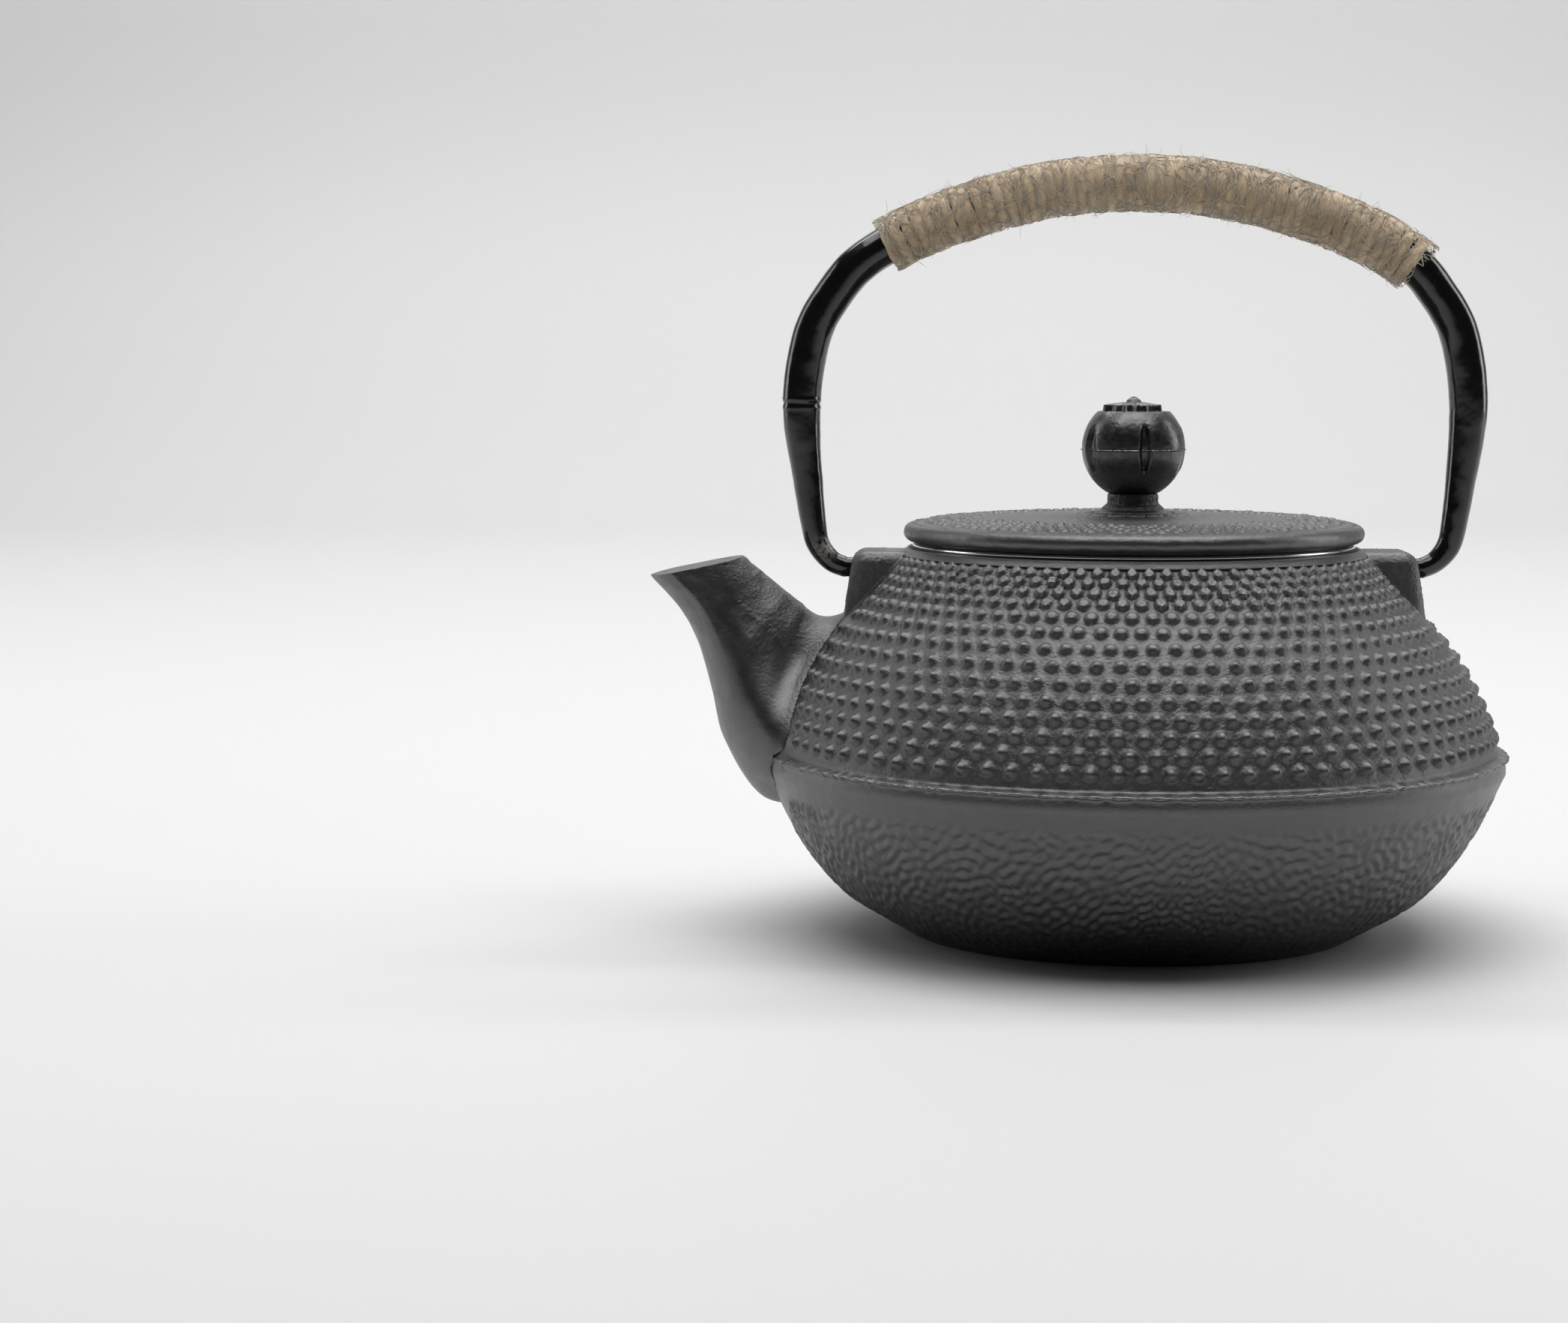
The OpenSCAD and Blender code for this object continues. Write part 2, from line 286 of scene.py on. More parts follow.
class Recipe:
    """Builds one node material with few words."""

    def __init__(self, name, roughness=0.5, metallic=0.0, specular=0.5):
        self.material = bpy.data.materials.new(name)
        self.material.use_nodes = True
        self.tree = self.material.node_tree
        self.shader = self.tree.nodes["Principled BSDF"]
        self.shader.inputs["Roughness"].default_value = roughness
        self.shader.inputs["Metallic"].default_value = metallic
        self.shader.inputs["Base Color"].default_value = GREY
        self.shader.inputs["Specular IOR Level"].default_value = specular
        self.shader.inputs["IOR"].default_value = PAINT_IOR if specular > 0.8 else PLAIN_IOR
        self.place = self.tree.nodes.new("ShaderNodeTexCoord")

    def noise(self, scale, detail=3.0, rough=0.55, stretch=None):
        node = self.tree.nodes.new("ShaderNodeTexNoise")
        node.inputs["Scale"].default_value = scale
        node.inputs["Detail"].default_value = detail
        node.inputs["Roughness"].default_value = rough
        self.coordinates(node, stretch)
        return node.outputs["Fac"]

    def cells(self, scale):
        node = self.tree.nodes.new("ShaderNodeTexVoronoi")
        node.inputs["Scale"].default_value = scale
        self.coordinates(node, None)
        return node.outputs["Distance"]

    def coordinates(self, node, stretch):
        """Feeds a texture the object's own coordinates, stretched if asked."""
        source = self.place.outputs["Object"]
        if stretch:
            turn = self.tree.nodes.new("ShaderNodeMapping")
            turn.inputs["Scale"].default_value = stretch
            self.tree.links.new(source, turn.inputs["Vector"])
            source = turn.outputs["Vector"]
        self.tree.links.new(source, node.inputs["Vector"])

    def attribute(self, name):
        node = self.tree.nodes.new("ShaderNodeAttribute")
        node.attribute_name = name
        return node.outputs["Fac"]

    def ramp(self, source, low, high, start=0.0, end=1.0):
        """Maps low to high of the source onto start to end."""
        node = self.tree.nodes.new("ShaderNodeMapRange")
        node.inputs["From Min"].default_value = low
        node.inputs["From Max"].default_value = high
        node.inputs["To Min"].default_value = start
        node.inputs["To Max"].default_value = end
        self.tree.links.new(source, node.inputs["Value"])
        return node.outputs["Result"]

    def math(self, operation, a, b):
        node = self.tree.nodes.new("ShaderNodeMath")
        node.operation = operation
        for value, socket in ((a, node.inputs[0]), (b, node.inputs[1])):
            if isinstance(value, (int, float)):
                socket.default_value = value
            else:
                self.tree.links.new(value, socket)
        return node.outputs[0]

    def mix(self, factor, a, b):
        node = self.tree.nodes.new("ShaderNodeMix")
        node.data_type = "RGBA"
        self.tree.links.new(factor, node.inputs["Factor"])
        for value, socket in ((a, node.inputs["A"]), (b, node.inputs["B"])):
            if isinstance(value, tuple):
                socket.default_value = (*value, 1)
            else:
                self.tree.links.new(value, socket)
        return node.outputs["Result"]

    def bump(self, height, distance, strength):
        node = self.tree.nodes.new("ShaderNodeBump")
        node.inputs["Distance"].default_value = distance
        node.inputs["Strength"].default_value = strength
        self.tree.links.new(height, node.inputs["Height"])
        self.tree.links.new(node.outputs["Normal"], self.shader.inputs["Normal"])

    def set(self, socket, source):
        self.tree.links.new(source, self.shader.inputs[socket])


def pot_iron():
    """Painted cast iron: sandy between the hobnails, smoother bowl, bare edges."""
    m = Recipe("pot_iron", roughness=0.5, specular=1.0)
    grain = m.noise(1500, 4, 0.65)
    patch = m.noise(90, 3)
    base = m.mix(m.ramp(patch, 0.35, 0.65), (0.003, 0.0031, 0.0034), (0.006, 0.0062, 0.0066))
    bare = m.math("MULTIPLY", m.attribute("bare"), m.ramp(m.noise(900, 3), 0.42, 0.6))
    m.set("Base Color", m.mix(bare, base, (0.16, 0.15, 0.14)))
    rough = m.ramp(m.noise(420, 4), 0.3, 0.7, 0.33, 0.43)
    sand = m.attribute("sand")
    m.set("Roughness", m.math("ADD", rough, m.math("MULTIPLY", sand, 0.06)))
    strength = m.math("MULTIPLY", grain, m.ramp(sand, 0, 1, 0.25, 1.0))
    m.bump(strength, 0.00022, 0.9)
    return m.material


def lid_iron():
    """The same paint as the pot's, a little rougher."""
    m = Recipe("lid_iron", roughness=0.5, specular=1.0)
    patch = m.ramp(m.noise(110, 3), 0.35, 0.65)
    m.set("Base Color", m.mix(patch, (0.004, 0.0041, 0.0045), (0.008, 0.0082, 0.0088)))
    m.set("Roughness", m.ramp(m.noise(500, 4), 0.3, 0.7, 0.36, 0.46))
    m.bump(m.math("MULTIPLY", m.noise(1400, 4, 0.65), m.ramp(m.attribute("sand"), 0, 1, 0.25, 1.0)),
           0.00025, 0.9)
    return m.material


def knob_iron():
    """Glossier paint, worn along the casting seam."""
    m = Recipe("knob_iron", roughness=0.3, specular=0.9)
    m.set("Base Color", m.mix(m.attribute("bare"), (0.0035, 0.0035, 0.0038), (0.05, 0.048, 0.045)))
    m.set("Roughness", m.ramp(m.noise(700, 4), 0.3, 0.75, 0.24, 0.42))
    m.bump(m.noise(1600, 3), 0.00006, 0.6)
    return m.material


def bail_enamel():
    """Black enamel with a few pale specks, and bare steel where it rubs."""
    m = Recipe("bail_enamel", roughness=0.16)
    m.shader.inputs["Coat Weight"].default_value = 0.4
    m.shader.inputs["Coat Roughness"].default_value = 0.08
    speck = m.ramp(m.cells(420), 0.035, 0.06, 1.0, 0.0)
    bare = m.math("MULTIPLY", m.attribute("bare"), m.ramp(m.noise(1300, 3), 0.4, 0.55))
    base = m.mix(m.math("MULTIPLY", speck, 0.25), (0.0025, 0.0025, 0.0028), (0.2, 0.2, 0.2))
    m.set("Base Color", m.mix(bare, base, (0.4, 0.38, 0.34)))
    m.set("Roughness", m.ramp(m.noise(300, 3), 0.3, 0.7, 0.12, 0.24))
    m.bump(m.noise(260, 2), 0.00012, 0.35)
    return m.material


def jute(name, dark, light):
    """Dull twine, streaked along its fibres."""
    m = Recipe(name, roughness=0.85)
    m.shader.inputs["Sheen Weight"].default_value = 0.9
    m.shader.inputs["Sheen Roughness"].default_value = 0.5
    node = m.tree.nodes.new("ShaderNodeUVMap")
    node.uv_map = "fibre"
    turn = m.tree.nodes.new("ShaderNodeMapping")
    turn.inputs["Scale"].default_value = (1.0, 14.0, 1.0)
    m.tree.links.new(node.outputs["UV"], turn.inputs["Vector"])
    fibre = m.tree.nodes.new("ShaderNodeTexNoise")
    fibre.inputs["Scale"].default_value = 1.0
    fibre.inputs["Detail"].default_value = 4.0
    m.tree.links.new(turn.outputs["Vector"], fibre.inputs["Vector"])
    tone = m.math("ADD", m.math("MULTIPLY", fibre.outputs["Fac"], 0.65),
                  m.math("MULTIPLY", m.noise(170, 3), 0.35))
    m.set("Base Color", m.mix(m.ramp(tone, 0.32, 0.66), dark, light))
    m.bump(fibre.outputs["Fac"], 0.0003, 0.9)
    return m.material


def metal(name, roughness, tint, dark, light, grain, smooth, rough):
    """Bare metal; tint and grain are the settings of its two noises."""
    m = Recipe(name, roughness, metallic=1.0)
    m.set("Base Color", m.mix(m.noise(*tint), dark, light))
    m.set("Roughness", m.ramp(m.noise(*grain), 0.3, 0.7, smooth, rough))
    return m.material


def polished_steel():
    return metal("polished_steel", 0.14, (60, 2), (0.72, 0.72, 0.73), (0.82, 0.82, 0.83),
                 (30, 3, 0.5, (1, 1, 60)), 0.1, 0.24)


def mesh_steel():
    return metal("mesh_steel", 0.3, (200, 2), (0.55, 0.55, 0.56), (0.75, 0.75, 0.76),
                 (500, 2), 0.24, 0.4)


def zinc():
    return metal("zinc", 0.35, (300, 3), (0.42, 0.42, 0.42), (0.6, 0.6, 0.58), (600, 3), 0.28, 0.5)


def studio_white(name, value):
    m = Recipe(name, roughness=0.6)
    m.set("Base Color", m.mix(m.noise(3, 2), (value, value, value), (value * 0.985,) * 3))
    return m.material


# ---- pot outline
def pot_lines():
    """Shoulder and bowl outlines as (r, z), from the collar's foot to the base's edge."""
    top = np.array([COLLAR_R, COLLAR_Z - COLLAR_H])
    end = top + SHOULDER_RUN * np.array([math.cos(SHOULDER_SLOPE), -math.sin(SHOULDER_SLOPE)])
    middle = end - SHOULDER_R * np.array([math.sin(SHOULDER_SLOPE), math.cos(SHOULDER_SLOPE)])
    last = math.asin((BELLY_Z + 1.2 - middle[1]) / SHOULDER_R)
    angles = np.linspace(math.pi / 2 - SHOULDER_SLOPE, last, 60)
    arc = middle + SHOULDER_R * np.stack([np.cos(angles), np.sin(angles)], axis=1)
    shoulder = np.vstack([np.linspace(top, end, 30)[:-1], arc])
    bowl_top = BELLY_Z - 2.9
    bowl = spline([(BELLY_R - 0.3, bowl_top), (BELLY_R * 0.903, bowl_top * 0.58),
                   (BELLY_R * 0.793, bowl_top * 0.27), (BELLY_R * 0.673, bowl_top * 0.095),
                   (BASE_R, 0)], 30)
    return shoulder, bowl


SHOULDER, BOWL = pot_lines()
OUTSIDE = np.vstack([SHOULDER, BOWL])


def outside_r(z):
    """Radius of the pot's plain outer surface at height z."""
    return np.interp(z, OUTSIDE[::-1, 1], OUTSIDE[::-1, 0])


HOBNAIL_ROWS = 14
HOBNAILS_ROUND = 92


def hobnail_heights():
    """Height of each row of hobnails: close together by the collar, wider apart below."""
    gaps = 3.06 - 1.45 * np.exp(-(np.arange(HOBNAIL_ROWS - 1) / 4.0) ** 2)
    return COLLAR_Z - 2.4 - np.concatenate([[0], np.cumsum(gaps)])


def hobnails(line, columns):
    """How far each point of the shoulder stands out for the hobnails."""
    angle = round_angles(columns)
    pitch = 2 * math.pi / HOBNAILS_ROUND
    rng = np.random.default_rng(5)
    out = np.zeros((len(line), columns))
    far = distances(line)
    for k, z in enumerate(hobnail_heights()):
        at = np.interp(-z, -line[:, 1], far)
        r = np.interp(-z, -line[:, 1], line[:, 0])
        share = k / (HOBNAIL_ROWS - 1)
        radius = 1.25 + 0.35 * share
        height = 0.75 + 0.5 * share
        turn = angle / pitch - 0.5 * (k % 2)
        number = np.round(turn).astype(int) % HOBNAILS_ROUND
        size = 1 + 0.08 * rng.standard_normal(HOBNAILS_ROUND)[number]
        shift = 0.10 * rng.standard_normal(HOBNAILS_ROUND)[number]
        side = (turn - np.round(turn)) * pitch * r + shift
        slope = far[:, None] - at - 0.10 * rng.standard_normal(HOBNAILS_ROUND)[number][None, :]
        d = np.sqrt(side[None, :] ** 2 + slope ** 2) / radius
        dome = np.clip(1 - d ** 2, 0, 1) ** 1.25
        flat = ease(1.08 - d, 0, 0.45) * (0.86 + 0.14 * ease(d, 0.15, 0.6))
        shape = flat * (1 - ease(share, 0.15, 0.6)) + dome * ease(share, 0.15, 0.6)
        out = np.maximum(out, shape * height * size[None, :])
    return out


# Spout sections: top x and z, low x and z, half width, and how much the upper part narrows
SPOUT = [(-50, 57, -58, 24, 20, 0.5), (-62, 61.9, -72.5, 25.6, 19, 0.5),
         (-65.5, 64.3, -80.6, 37, 15.5, 0.35), (-69, 67.1, -83.3, 47.4, 12.5, 0.2),
         (-72.5, 69.9, -86, 56.5, 10.6, 0.1), (-74.6, 71.6, -89.6, 63.4, 9.8, 0.05),
         (-76.9, 73.6, -95.4, 69.8, 9.2, 0)]
SPOUT_SIDES = 168


def half_section(edge, face_end, crease, count):
    """Points (up, side) down one side of a section; crease runs from 0, round, to 1, faceted."""
    up = np.linspace(1, -1, 500)
    a = np.arccos(up)
    plain = np.abs(np.sin(a)) ** 0.9
    height = np.sign(np.cos(a)) * np.abs(np.cos(a)) ** 0.9
    crest = np.clip(1 - ((height - face_end) / (1 - face_end)) ** 2, 0, 1) ** 0.47
    centre = edge + 0.3
    nose = np.sqrt(np.clip(1 - ((height - centre) / (1 + centre)) ** 2, 0, 1))
    nose = nose / math.sqrt(1 - ((edge - centre) / (1 + centre)) ** 2)
    faceted = np.where(height > face_end, crest, np.where(height > edge, 1.0, nose))
    line = np.stack([height, plain * (1 - crease) + faceted * crease], axis=1)
    return resampled(line, distances(line), count)


def spout_ring(section, share, inward=0.0, faceted=True):
    """One ring of the spout; share is 0 at the root and 1 at the lip."""
    top, low = np.array([section[0], section[1]]), np.array([section[2], section[3]])
    middle, half = (top + low) / 2, (top - low) / 2
    half = half * (1 - inward / np.linalg.norm(half))
    crease = float(ease(share, 0.35, 0.62)) if faceted else 0.0
    face_end = -0.28 + 0.62 * max(share - 0.45, 0) / 0.55
    line = half_section(-0.36 - 0.14 * share, face_end, crease, SPOUT_SIDES // 2 + 1)
    narrow = 1 - section[5] * ease(line[:, 0], -0.35, 0.6)
    side = (section[4] - inward) * narrow * line[:, 1]
    both = np.vstack([np.stack([line[:, 0], side], axis=1),
                      np.stack([line[-2:0:-1, 0], -side[-2:0:-1]], axis=1)])
    return np.stack([middle[0] + half[0] * both[:, 0], both[:, 1],
                     middle[1] + half[1] * both[:, 0]], axis=1), both


def beyond_pot(points):
    """How far points stand outside the pot's plain outer surface."""
    flat = points.reshape(-1, 3)
    r, z = np.hypot(flat[:, 0], flat[:, 1]), flat[:, 2]
    slope = np.interp(z, [0, 8, 30, 36, 50, 62, 74], [0.75, 0.8, 0.95, 1.0, 0.93, 0.75, 0.68])
    return ((r - outside_r(z)) * slope).reshape(points.shape[:-1])


def spout_loft():
    """The spout as a closed solid, from inside the pot's wall to its lip."""
    sections = spline(SPOUT, 18)
    sections = np.vstack([sections[:-1], sections[-1] - 0.02 * (sections[-1] - sections[-2])])
    shares = np.clip((np.arange(len(sections)) / 18 - 0.8) / 5.2, 0, 1)
    built = [spout_ring(s, u) for s, u in zip(sections, shares)]
    rings = np.array([ring for ring, _ in built])
    local = np.array([both for _, both in built])
    out = rings - rings.mean(axis=1, keepdims=True)
    out[..., 0] *= 0.6
    out /= np.linalg.norm(out, axis=2, keepdims=True)
    stand = beyond_pot(rings)
    flare = np.clip(1 - stand / 4.5, 0, 1.3) ** 2 * 1.7
    flare *= ease(rings[..., 2], 26, 34)
    rings = rings + out * flare[..., None]
    grain = band_noise(len(sections), SPOUT_SIDES, 0.4, 0.4, 0.9, 0.5, 41)
    upper = ease(local[..., 0], -0.05, 0.25) * ease(shares, 0.12, 0.3)[:, None]
    upper = upper * ease(stand, 1.2, 2.6) * ease(rings[..., 2], 41, 46)
    slack = soft_noise(len(sections), SPOUT_SIDES, 0.4, 0.4, 5, 42)
    rings = rings + out * (0.07 * grain * upper + 0.10 * slack)[..., None]
    step = sections[-1] - sections[-2]
    for far, inward in ((0.25, 0.08), (0.42, 0.3), (0.5, 0.6)):
        ring, _ = spout_ring(sections[-1] + step * far / 1.1, 1.0, inward)
        rings = np.concatenate([rings, ring[None]])
    return rings.reshape(-1, 3), capped_faces(len(rings), SPOUT_SIDES)


def passage_loft():
    """The way through the spout as a solid that reaches out past the lip."""
    sections = spline(SPOUT, 8)
    sections = np.vstack([sections, sections[-1] + 1.2 * (sections[-1] - sections[-2])])
    inward = 2.8 - 0.5 * ease(np.arange(len(sections)), len(sections) - 3, len(sections) - 1)
    rings = np.array([spout_ring(s, 0, d, False)[0] for s, d in zip(sections, inward)])
    return rings.reshape(-1, 3), capped_faces(len(rings), SPOUT_SIDES)


LUG_Z, LUG_REACH, LUG_W, LUG_FOOT = 75.0, 55.0, 15.0, 58.0


def rounded_block(low, high, radius, cuts):
    """A box with a fine even mesh as a bmesh, and its points with the edges rounded."""
    bm = bmesh.new()
    bmesh.ops.create_cube(bm, size=2)
    bmesh.ops.subdivide_edges(bm, edges=bm.edges, cuts=cuts, use_grid_fill=True)
    middle, half = (np.array(low) + high) / 2, (np.array(high) - low) / 2
    points = np.array([v.co for v in bm.verts]) * half
    core = np.clip(points, radius - half, half - radius)
    away = points - core
    size = np.linalg.norm(away, axis=1, keepdims=True)
    return bm, middle + core + away / np.maximum(size, 1e-9) * np.where(size > 0, radius, 0)


def build_lug(side):
    """One of the two square lugs that hold the handle's pins; side is 1 or -1."""
    bm, points = rounded_block((MOUTH_R - 2, -LUG_W / 2, LUG_FOOT - 6), (LUG_REACH, LUG_W / 2, LUG_Z),
                               2.6, 56)
    down = np.clip((LUG_Z - points[:, 2]) / (LUG_Z - LUG_FOOT), 0, 1.3)
    points[:, 0] += down * 2.6 * ease(points[:, 0], 44, 53)
    points[:, 1] *= 1 + 0.09 * down
    rng = np.random.default_rng(51 + side)
    points += 0.045 * rng.standard_normal(points.shape)
    points[:, 0] *= side
    if side < 0:
        bmesh.ops.reverse_faces(bm, faces=bm.faces)
    for v, p in zip(bm.verts, points):
        v.co = p * MM
    mesh = bpy.data.meshes.new("lug")
    bm.to_mesh(mesh)
    bm.free()
    lug = bpy.data.objects.new("lug", mesh)
    bpy.context.collection.objects.link(lug)
    return lug


def spout_gap(points):
    """How far inside the spout's root outline each point of the pot lies, seen along X."""
    flat = points.reshape(-1, 3)
    half = np.interp(flat[:, 2], [17, 22, 27, 34, 40, 49, 56, 62, 65], [0, 9, 18, 21, 19, 13, 9.5, 7, 2])
    gap = np.where(flat[:, 0] < 0, half - np.abs(flat[:, 1]), -99)
    return gap.reshape(points.shape[:-1])


def lug_gap(points):
    """How far inside a lug's outline each point of the pot lies."""
    flat = points.reshape(-1, 3)
    gap = np.where(flat[:, 2] > 60.5, LUG_W / 2 + 0.4 - np.abs(flat[:, 1]), -99)
    return gap.reshape(points.shape[:-1])


COLUMNS = HOBNAILS_ROUND * 10
SHOULDER_GAP, BOWL_GAP = 0.38, 0.5


def pot_outside():
    """The bowl, shoulder and collar as one solid, not yet hollow."""
    collar = spline([(MOUTH_R - 2, COLLAR_Z - 1.5), (MOUTH_R, COLLAR_Z - 0.5), (MOUTH_R + 0.4, COLLAR_Z),
                     (COLLAR_R - 2.0, COLLAR_Z), (COLLAR_R - 1.5, COLLAR_Z - 0.2),
                     (COLLAR_R - 0.5, COLLAR_Z - 1.1), (COLLAR_R - 0.2, COLLAR_Z - COLLAR_H + 0.45),
                     (COLLAR_R - 0.45, COLLAR_Z - COLLAR_H + 0.1)], 4)
    shoulder = evenly(SHOULDER, SHOULDER_GAP)
    flash = spline([(SHOULDER[-1][0] + 0.35, BELLY_Z + 0.75), (BELLY_R - 0.75, BELLY_Z + 0.42),
                    (BELLY_R, BELLY_Z + 0.2), (BELLY_R, BELLY_Z - 0.15),
                    (BELLY_R - 0.4, BELLY_Z - 0.5), (BELLY_R - 0.35, BELLY_Z - 1.6)], 3)
    bowl = evenly(BOWL, BOWL_GAP)
    foot = np.array([(BASE_R * s, 0.0) for s in (0.985, 0.9, 0.6, 0.25)])
    parts = [collar, shoulder, flash, bowl, foot]
    line = np.vstack(parts)
    ends = np.cumsum([len(p) for p in parts])
    points = revolve(line, COLUMNS)
    angle = round_angles(COLUMNS)
    flat = outward(line)
    normal = np.stack([flat[:, 0][:, None] * np.cos(angle), flat[:, 0][:, None] * np.sin(angle),
                       flat[:, 1][:, None] + np.zeros(COLUMNS)], axis=-1)
    calm = 1 - np.maximum(ease(spout_gap(points), -2.8, -1.0), ease(lug_gap(points), -6.5, -0.2))
    lift = np.zeros(points.shape[:2])

    rows = slice(ends[0], ends[1])
    lift[rows] += hobnails(shoulder, COLUMNS) * calm[rows]
    grid = (len(shoulder), COLUMNS, SHOULDER_GAP, 0.45)
    lift[rows] += 0.05 * soft_noise(*grid, 1.2, 11)
    lift[rows] += 0.02 * band_noise(*grid, 1.3, 0.5, 12)

    rows = slice(ends[1], ends[2])
    ragged = soft_noise(1, COLUMNS, 0.45, 0.5, 2.0, 21)[0]
    ragged += 0.6 * soft_noise(1, COLUMNS, 0.45, 0.5, 0.9, 22)[0]
    edge = np.exp(-((line[rows, 1] - BELLY_Z) / 0.5) ** 2)[:, None]
    lift[rows] += edge * np.clip(ragged, -1.2, 0.9)[None, :] * 0.28 * calm[rows]
    close = ease(spout_gap(points[rows]), -9, -2)
    plain = np.interp(line[rows, 1], [BELLY_Z - 1.6, BELLY_Z + 0.75], [BELLY_R - 0.45, BELLY_R - 1.2])
    lift[rows] -= (line[rows, 0] - plain)[:, None] * close

    rows = slice(ends[2], ends[3])
    lift[rows] += wrinkles(len(bowl)) * calm[rows]
    points = points + normal * lift[..., None]
    points = np.vstack([points.reshape(-1, 3), [[0, 0, COLLAR_Z - 1.5], [0, 0, 0]]])
    return points, fanned_faces(len(line), COLUMNS)


def wrinkles(count):
    """Meandering folds of the bowl: level at the front and back, slanting at the sides."""
    grid = (count, COLUMNS, BOWL_GAP, 0.47)
    level, rising, falling = (band_noise(*grid, 2.3, 0.25, seed, 0.6, lean)
                              for seed, lean in ((31, 0.0), (32, 1.1), (34, -1.1)))
    drift = soft_noise(*grid, 9, 33)
    turn = np.sin(2 * round_angles(COLUMNS))[None, :] * 1.1 + drift * 0.7
    rise, fall = ease(turn, 0.2, 0.7), ease(-turn, 0.2, 0.7)
    folds = level * (1 - rise - fall) + rising * rise + falling * fall
    folds = np.tanh(folds * 1.4)
    down = np.arange(count) * BOWL_GAP
    depth = ease(down, 3.2, 6.0) * ease(down[::-1], 0, 6)
    return 0.24 * folds * depth[:, None]


def pot_cavity():
    """The pot's hollow as a solid that reaches up past its mouth."""
    line = np.vstack([SHOULDER[::6], BOWL[::6]])
    line = line - outward(line) * WALL
    line[:, 1] = np.maximum(line[:, 1], WALL + 0.2)
    line = line[line[:, 1] < COLLAR_Z - 5]
    neck = [(MOUTH_R + 0.02, COLLAR_Z + 3), (MOUTH_R + 0.02, COLLAR_Z - 1.5),
            (MOUTH_R, line[0, 1] + 0.8)]
    line = evenly(np.vstack([neck, line, [(30.0, WALL + 0.2), (3.0, WALL + 0.2)]]), 1.5)
    columns = 184
    points = revolve(line, columns).reshape(-1, 3)
    ends = [[0, 0, line[0, 1]], [0, 0, line[-1, 1]]]
    return np.vstack([points, ends]), fanned_faces(len(line), columns)


def rod(start, end, radius, sides=48):
    points = np.linspace(start, end, 2)
    return tube(points, np.full(2, radius), sides, (0, 0, 1))


def neighbours_mean(obj, points):
    """Mean of each vertex's neighbours."""
    edges = np.empty(len(obj.data.edges) * 2, np.int64)
    obj.data.edges.foreach_get("vertices", edges)
    a, b = edges[::2], edges[1::2]
    count = np.bincount(a, minlength=len(points)) + np.bincount(b, minlength=len(points))
    total = np.zeros_like(points)
    for k in range(3):
        total[:, k] = (np.bincount(a, points[b, k], len(points))
                       + np.bincount(b, points[a, k], len(points)))
    return total / np.maximum(count, 1)[:, None]


def soften_joints(pot):
    """Rounds the inner corners where the spout and the lugs leave the pot."""
    points = points_mm(pot)
    stand = beyond_pot(points)
    r = np.hypot(points[:, 0], points[:, 1])
    near = ease(np.abs(spout_gap(points)), 4.5, 1.5) * ease(stand, 2.0, 0.6)
    lug = ease(np.abs(lug_gap(points)), 2.6, 1.0) * ease(stand, 2.4, 0.8) * (np.abs(points[:, 0]) > 30)
    weight = np.maximum(near, lug) * (stand > -1.0) * (r > MOUTH_R + 2)
    for _ in range(14):
        points += (neighbours_mean(pot, points) - points) * 0.6 * weight[:, None]
    move_points(pot, points)


def mark_pot(pot):
    """Stores where the casting is sandy, and where its paint has worn off."""
    points = points_mm(pot)
    stand = beyond_pot(points)
    z = points[:, 2]
    shoulder = ease(z, BELLY_Z + 0.8, BELLY_Z + 1.6) * ease(COLLAR_Z - COLLAR_H - z, -0.3, 0.3)
    sand = 0.25 + 0.75 * shoulder * (1 - 0.6 * np.clip(stand, 0, 1))
    on_spout = (points[:, 0] < -55) & (stand > 1.5)
    flank = ease(z + 0.9 * (points[:, 0] + 66), 40, 45) * ease(np.abs(points[:, 1]), 9.4, 8.9)
    sand = np.where(on_spout, 0.15 + 0.8 * flank, sand)
    on_lug = (lug_gap(points) > -0.3) & (stand > 0.2) & (z > 60) & (z < LUG_Z - 0.5)
    sand = np.where(on_lug, 1.0, sand)
    bare = np.exp(-((z - BELLY_Z - 0.1) / 0.28) ** 2) * (stand > 0.7) * ~on_spout
    set_attribute(pot, "sand", sand)
    set_attribute(pot, "bare", bare)


def build_pot(material):
    pot = new_object("pot_casting", *pot_outside(), material)
    boolean(pot, new_object("spout", *spout_loft()), "UNION")
    for side in (1, -1):
        boolean(pot, build_lug(side), "UNION")
    boolean(pot, new_object("cavity", *pot_cavity()), "DIFFERENCE")
    boolean(pot, new_object("passage", *passage_loft()), "DIFFERENCE")
    for side in (1, -1):
        hole = rod((side * 48.5, 0, HINGE_Z), (side * 62, 0, HINGE_Z), 2.0)
        boolean(pot, new_object("pin_hole", *hole), "DIFFERENCE")
    soften_joints(pot)
    mark_pot(pot)
    finish_piece(pot, "pot", ("pot_body",), 50)


def finish_piece(obj, body, nodes, sharp=None):
    """Shades a piece, ties it to its CAD body and hides its CAD nodes."""
    mesh = obj.data
    mesh.polygons.foreach_set("use_smooth", [True] * len(mesh.polygons))
    if sharp:
        mesh.set_sharp_from_angle(angle=math.radians(sharp))
    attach(obj, body)
    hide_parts(*nodes)


# ---- lid
LID_R, LID_EDGE_R = 45.2, 1.75
LID_TOP, LID_EDGE_TOP, LID_UNDER, LID_EDGE_Z = 81.7, 80.3, 78.7, 76.8
BOSS_R, BOSS_TOP = 5.0, 86.2
PETALS, PETAL_R = 16, 11.15
RIM_TOP = rim_high[2]
LID_COLUMNS = 768
PADS_ROUND, PAD_RINGS = 96, (30.9, 33.2, 35.5, 37.8, 40.1)
CREASE_R = 43.0


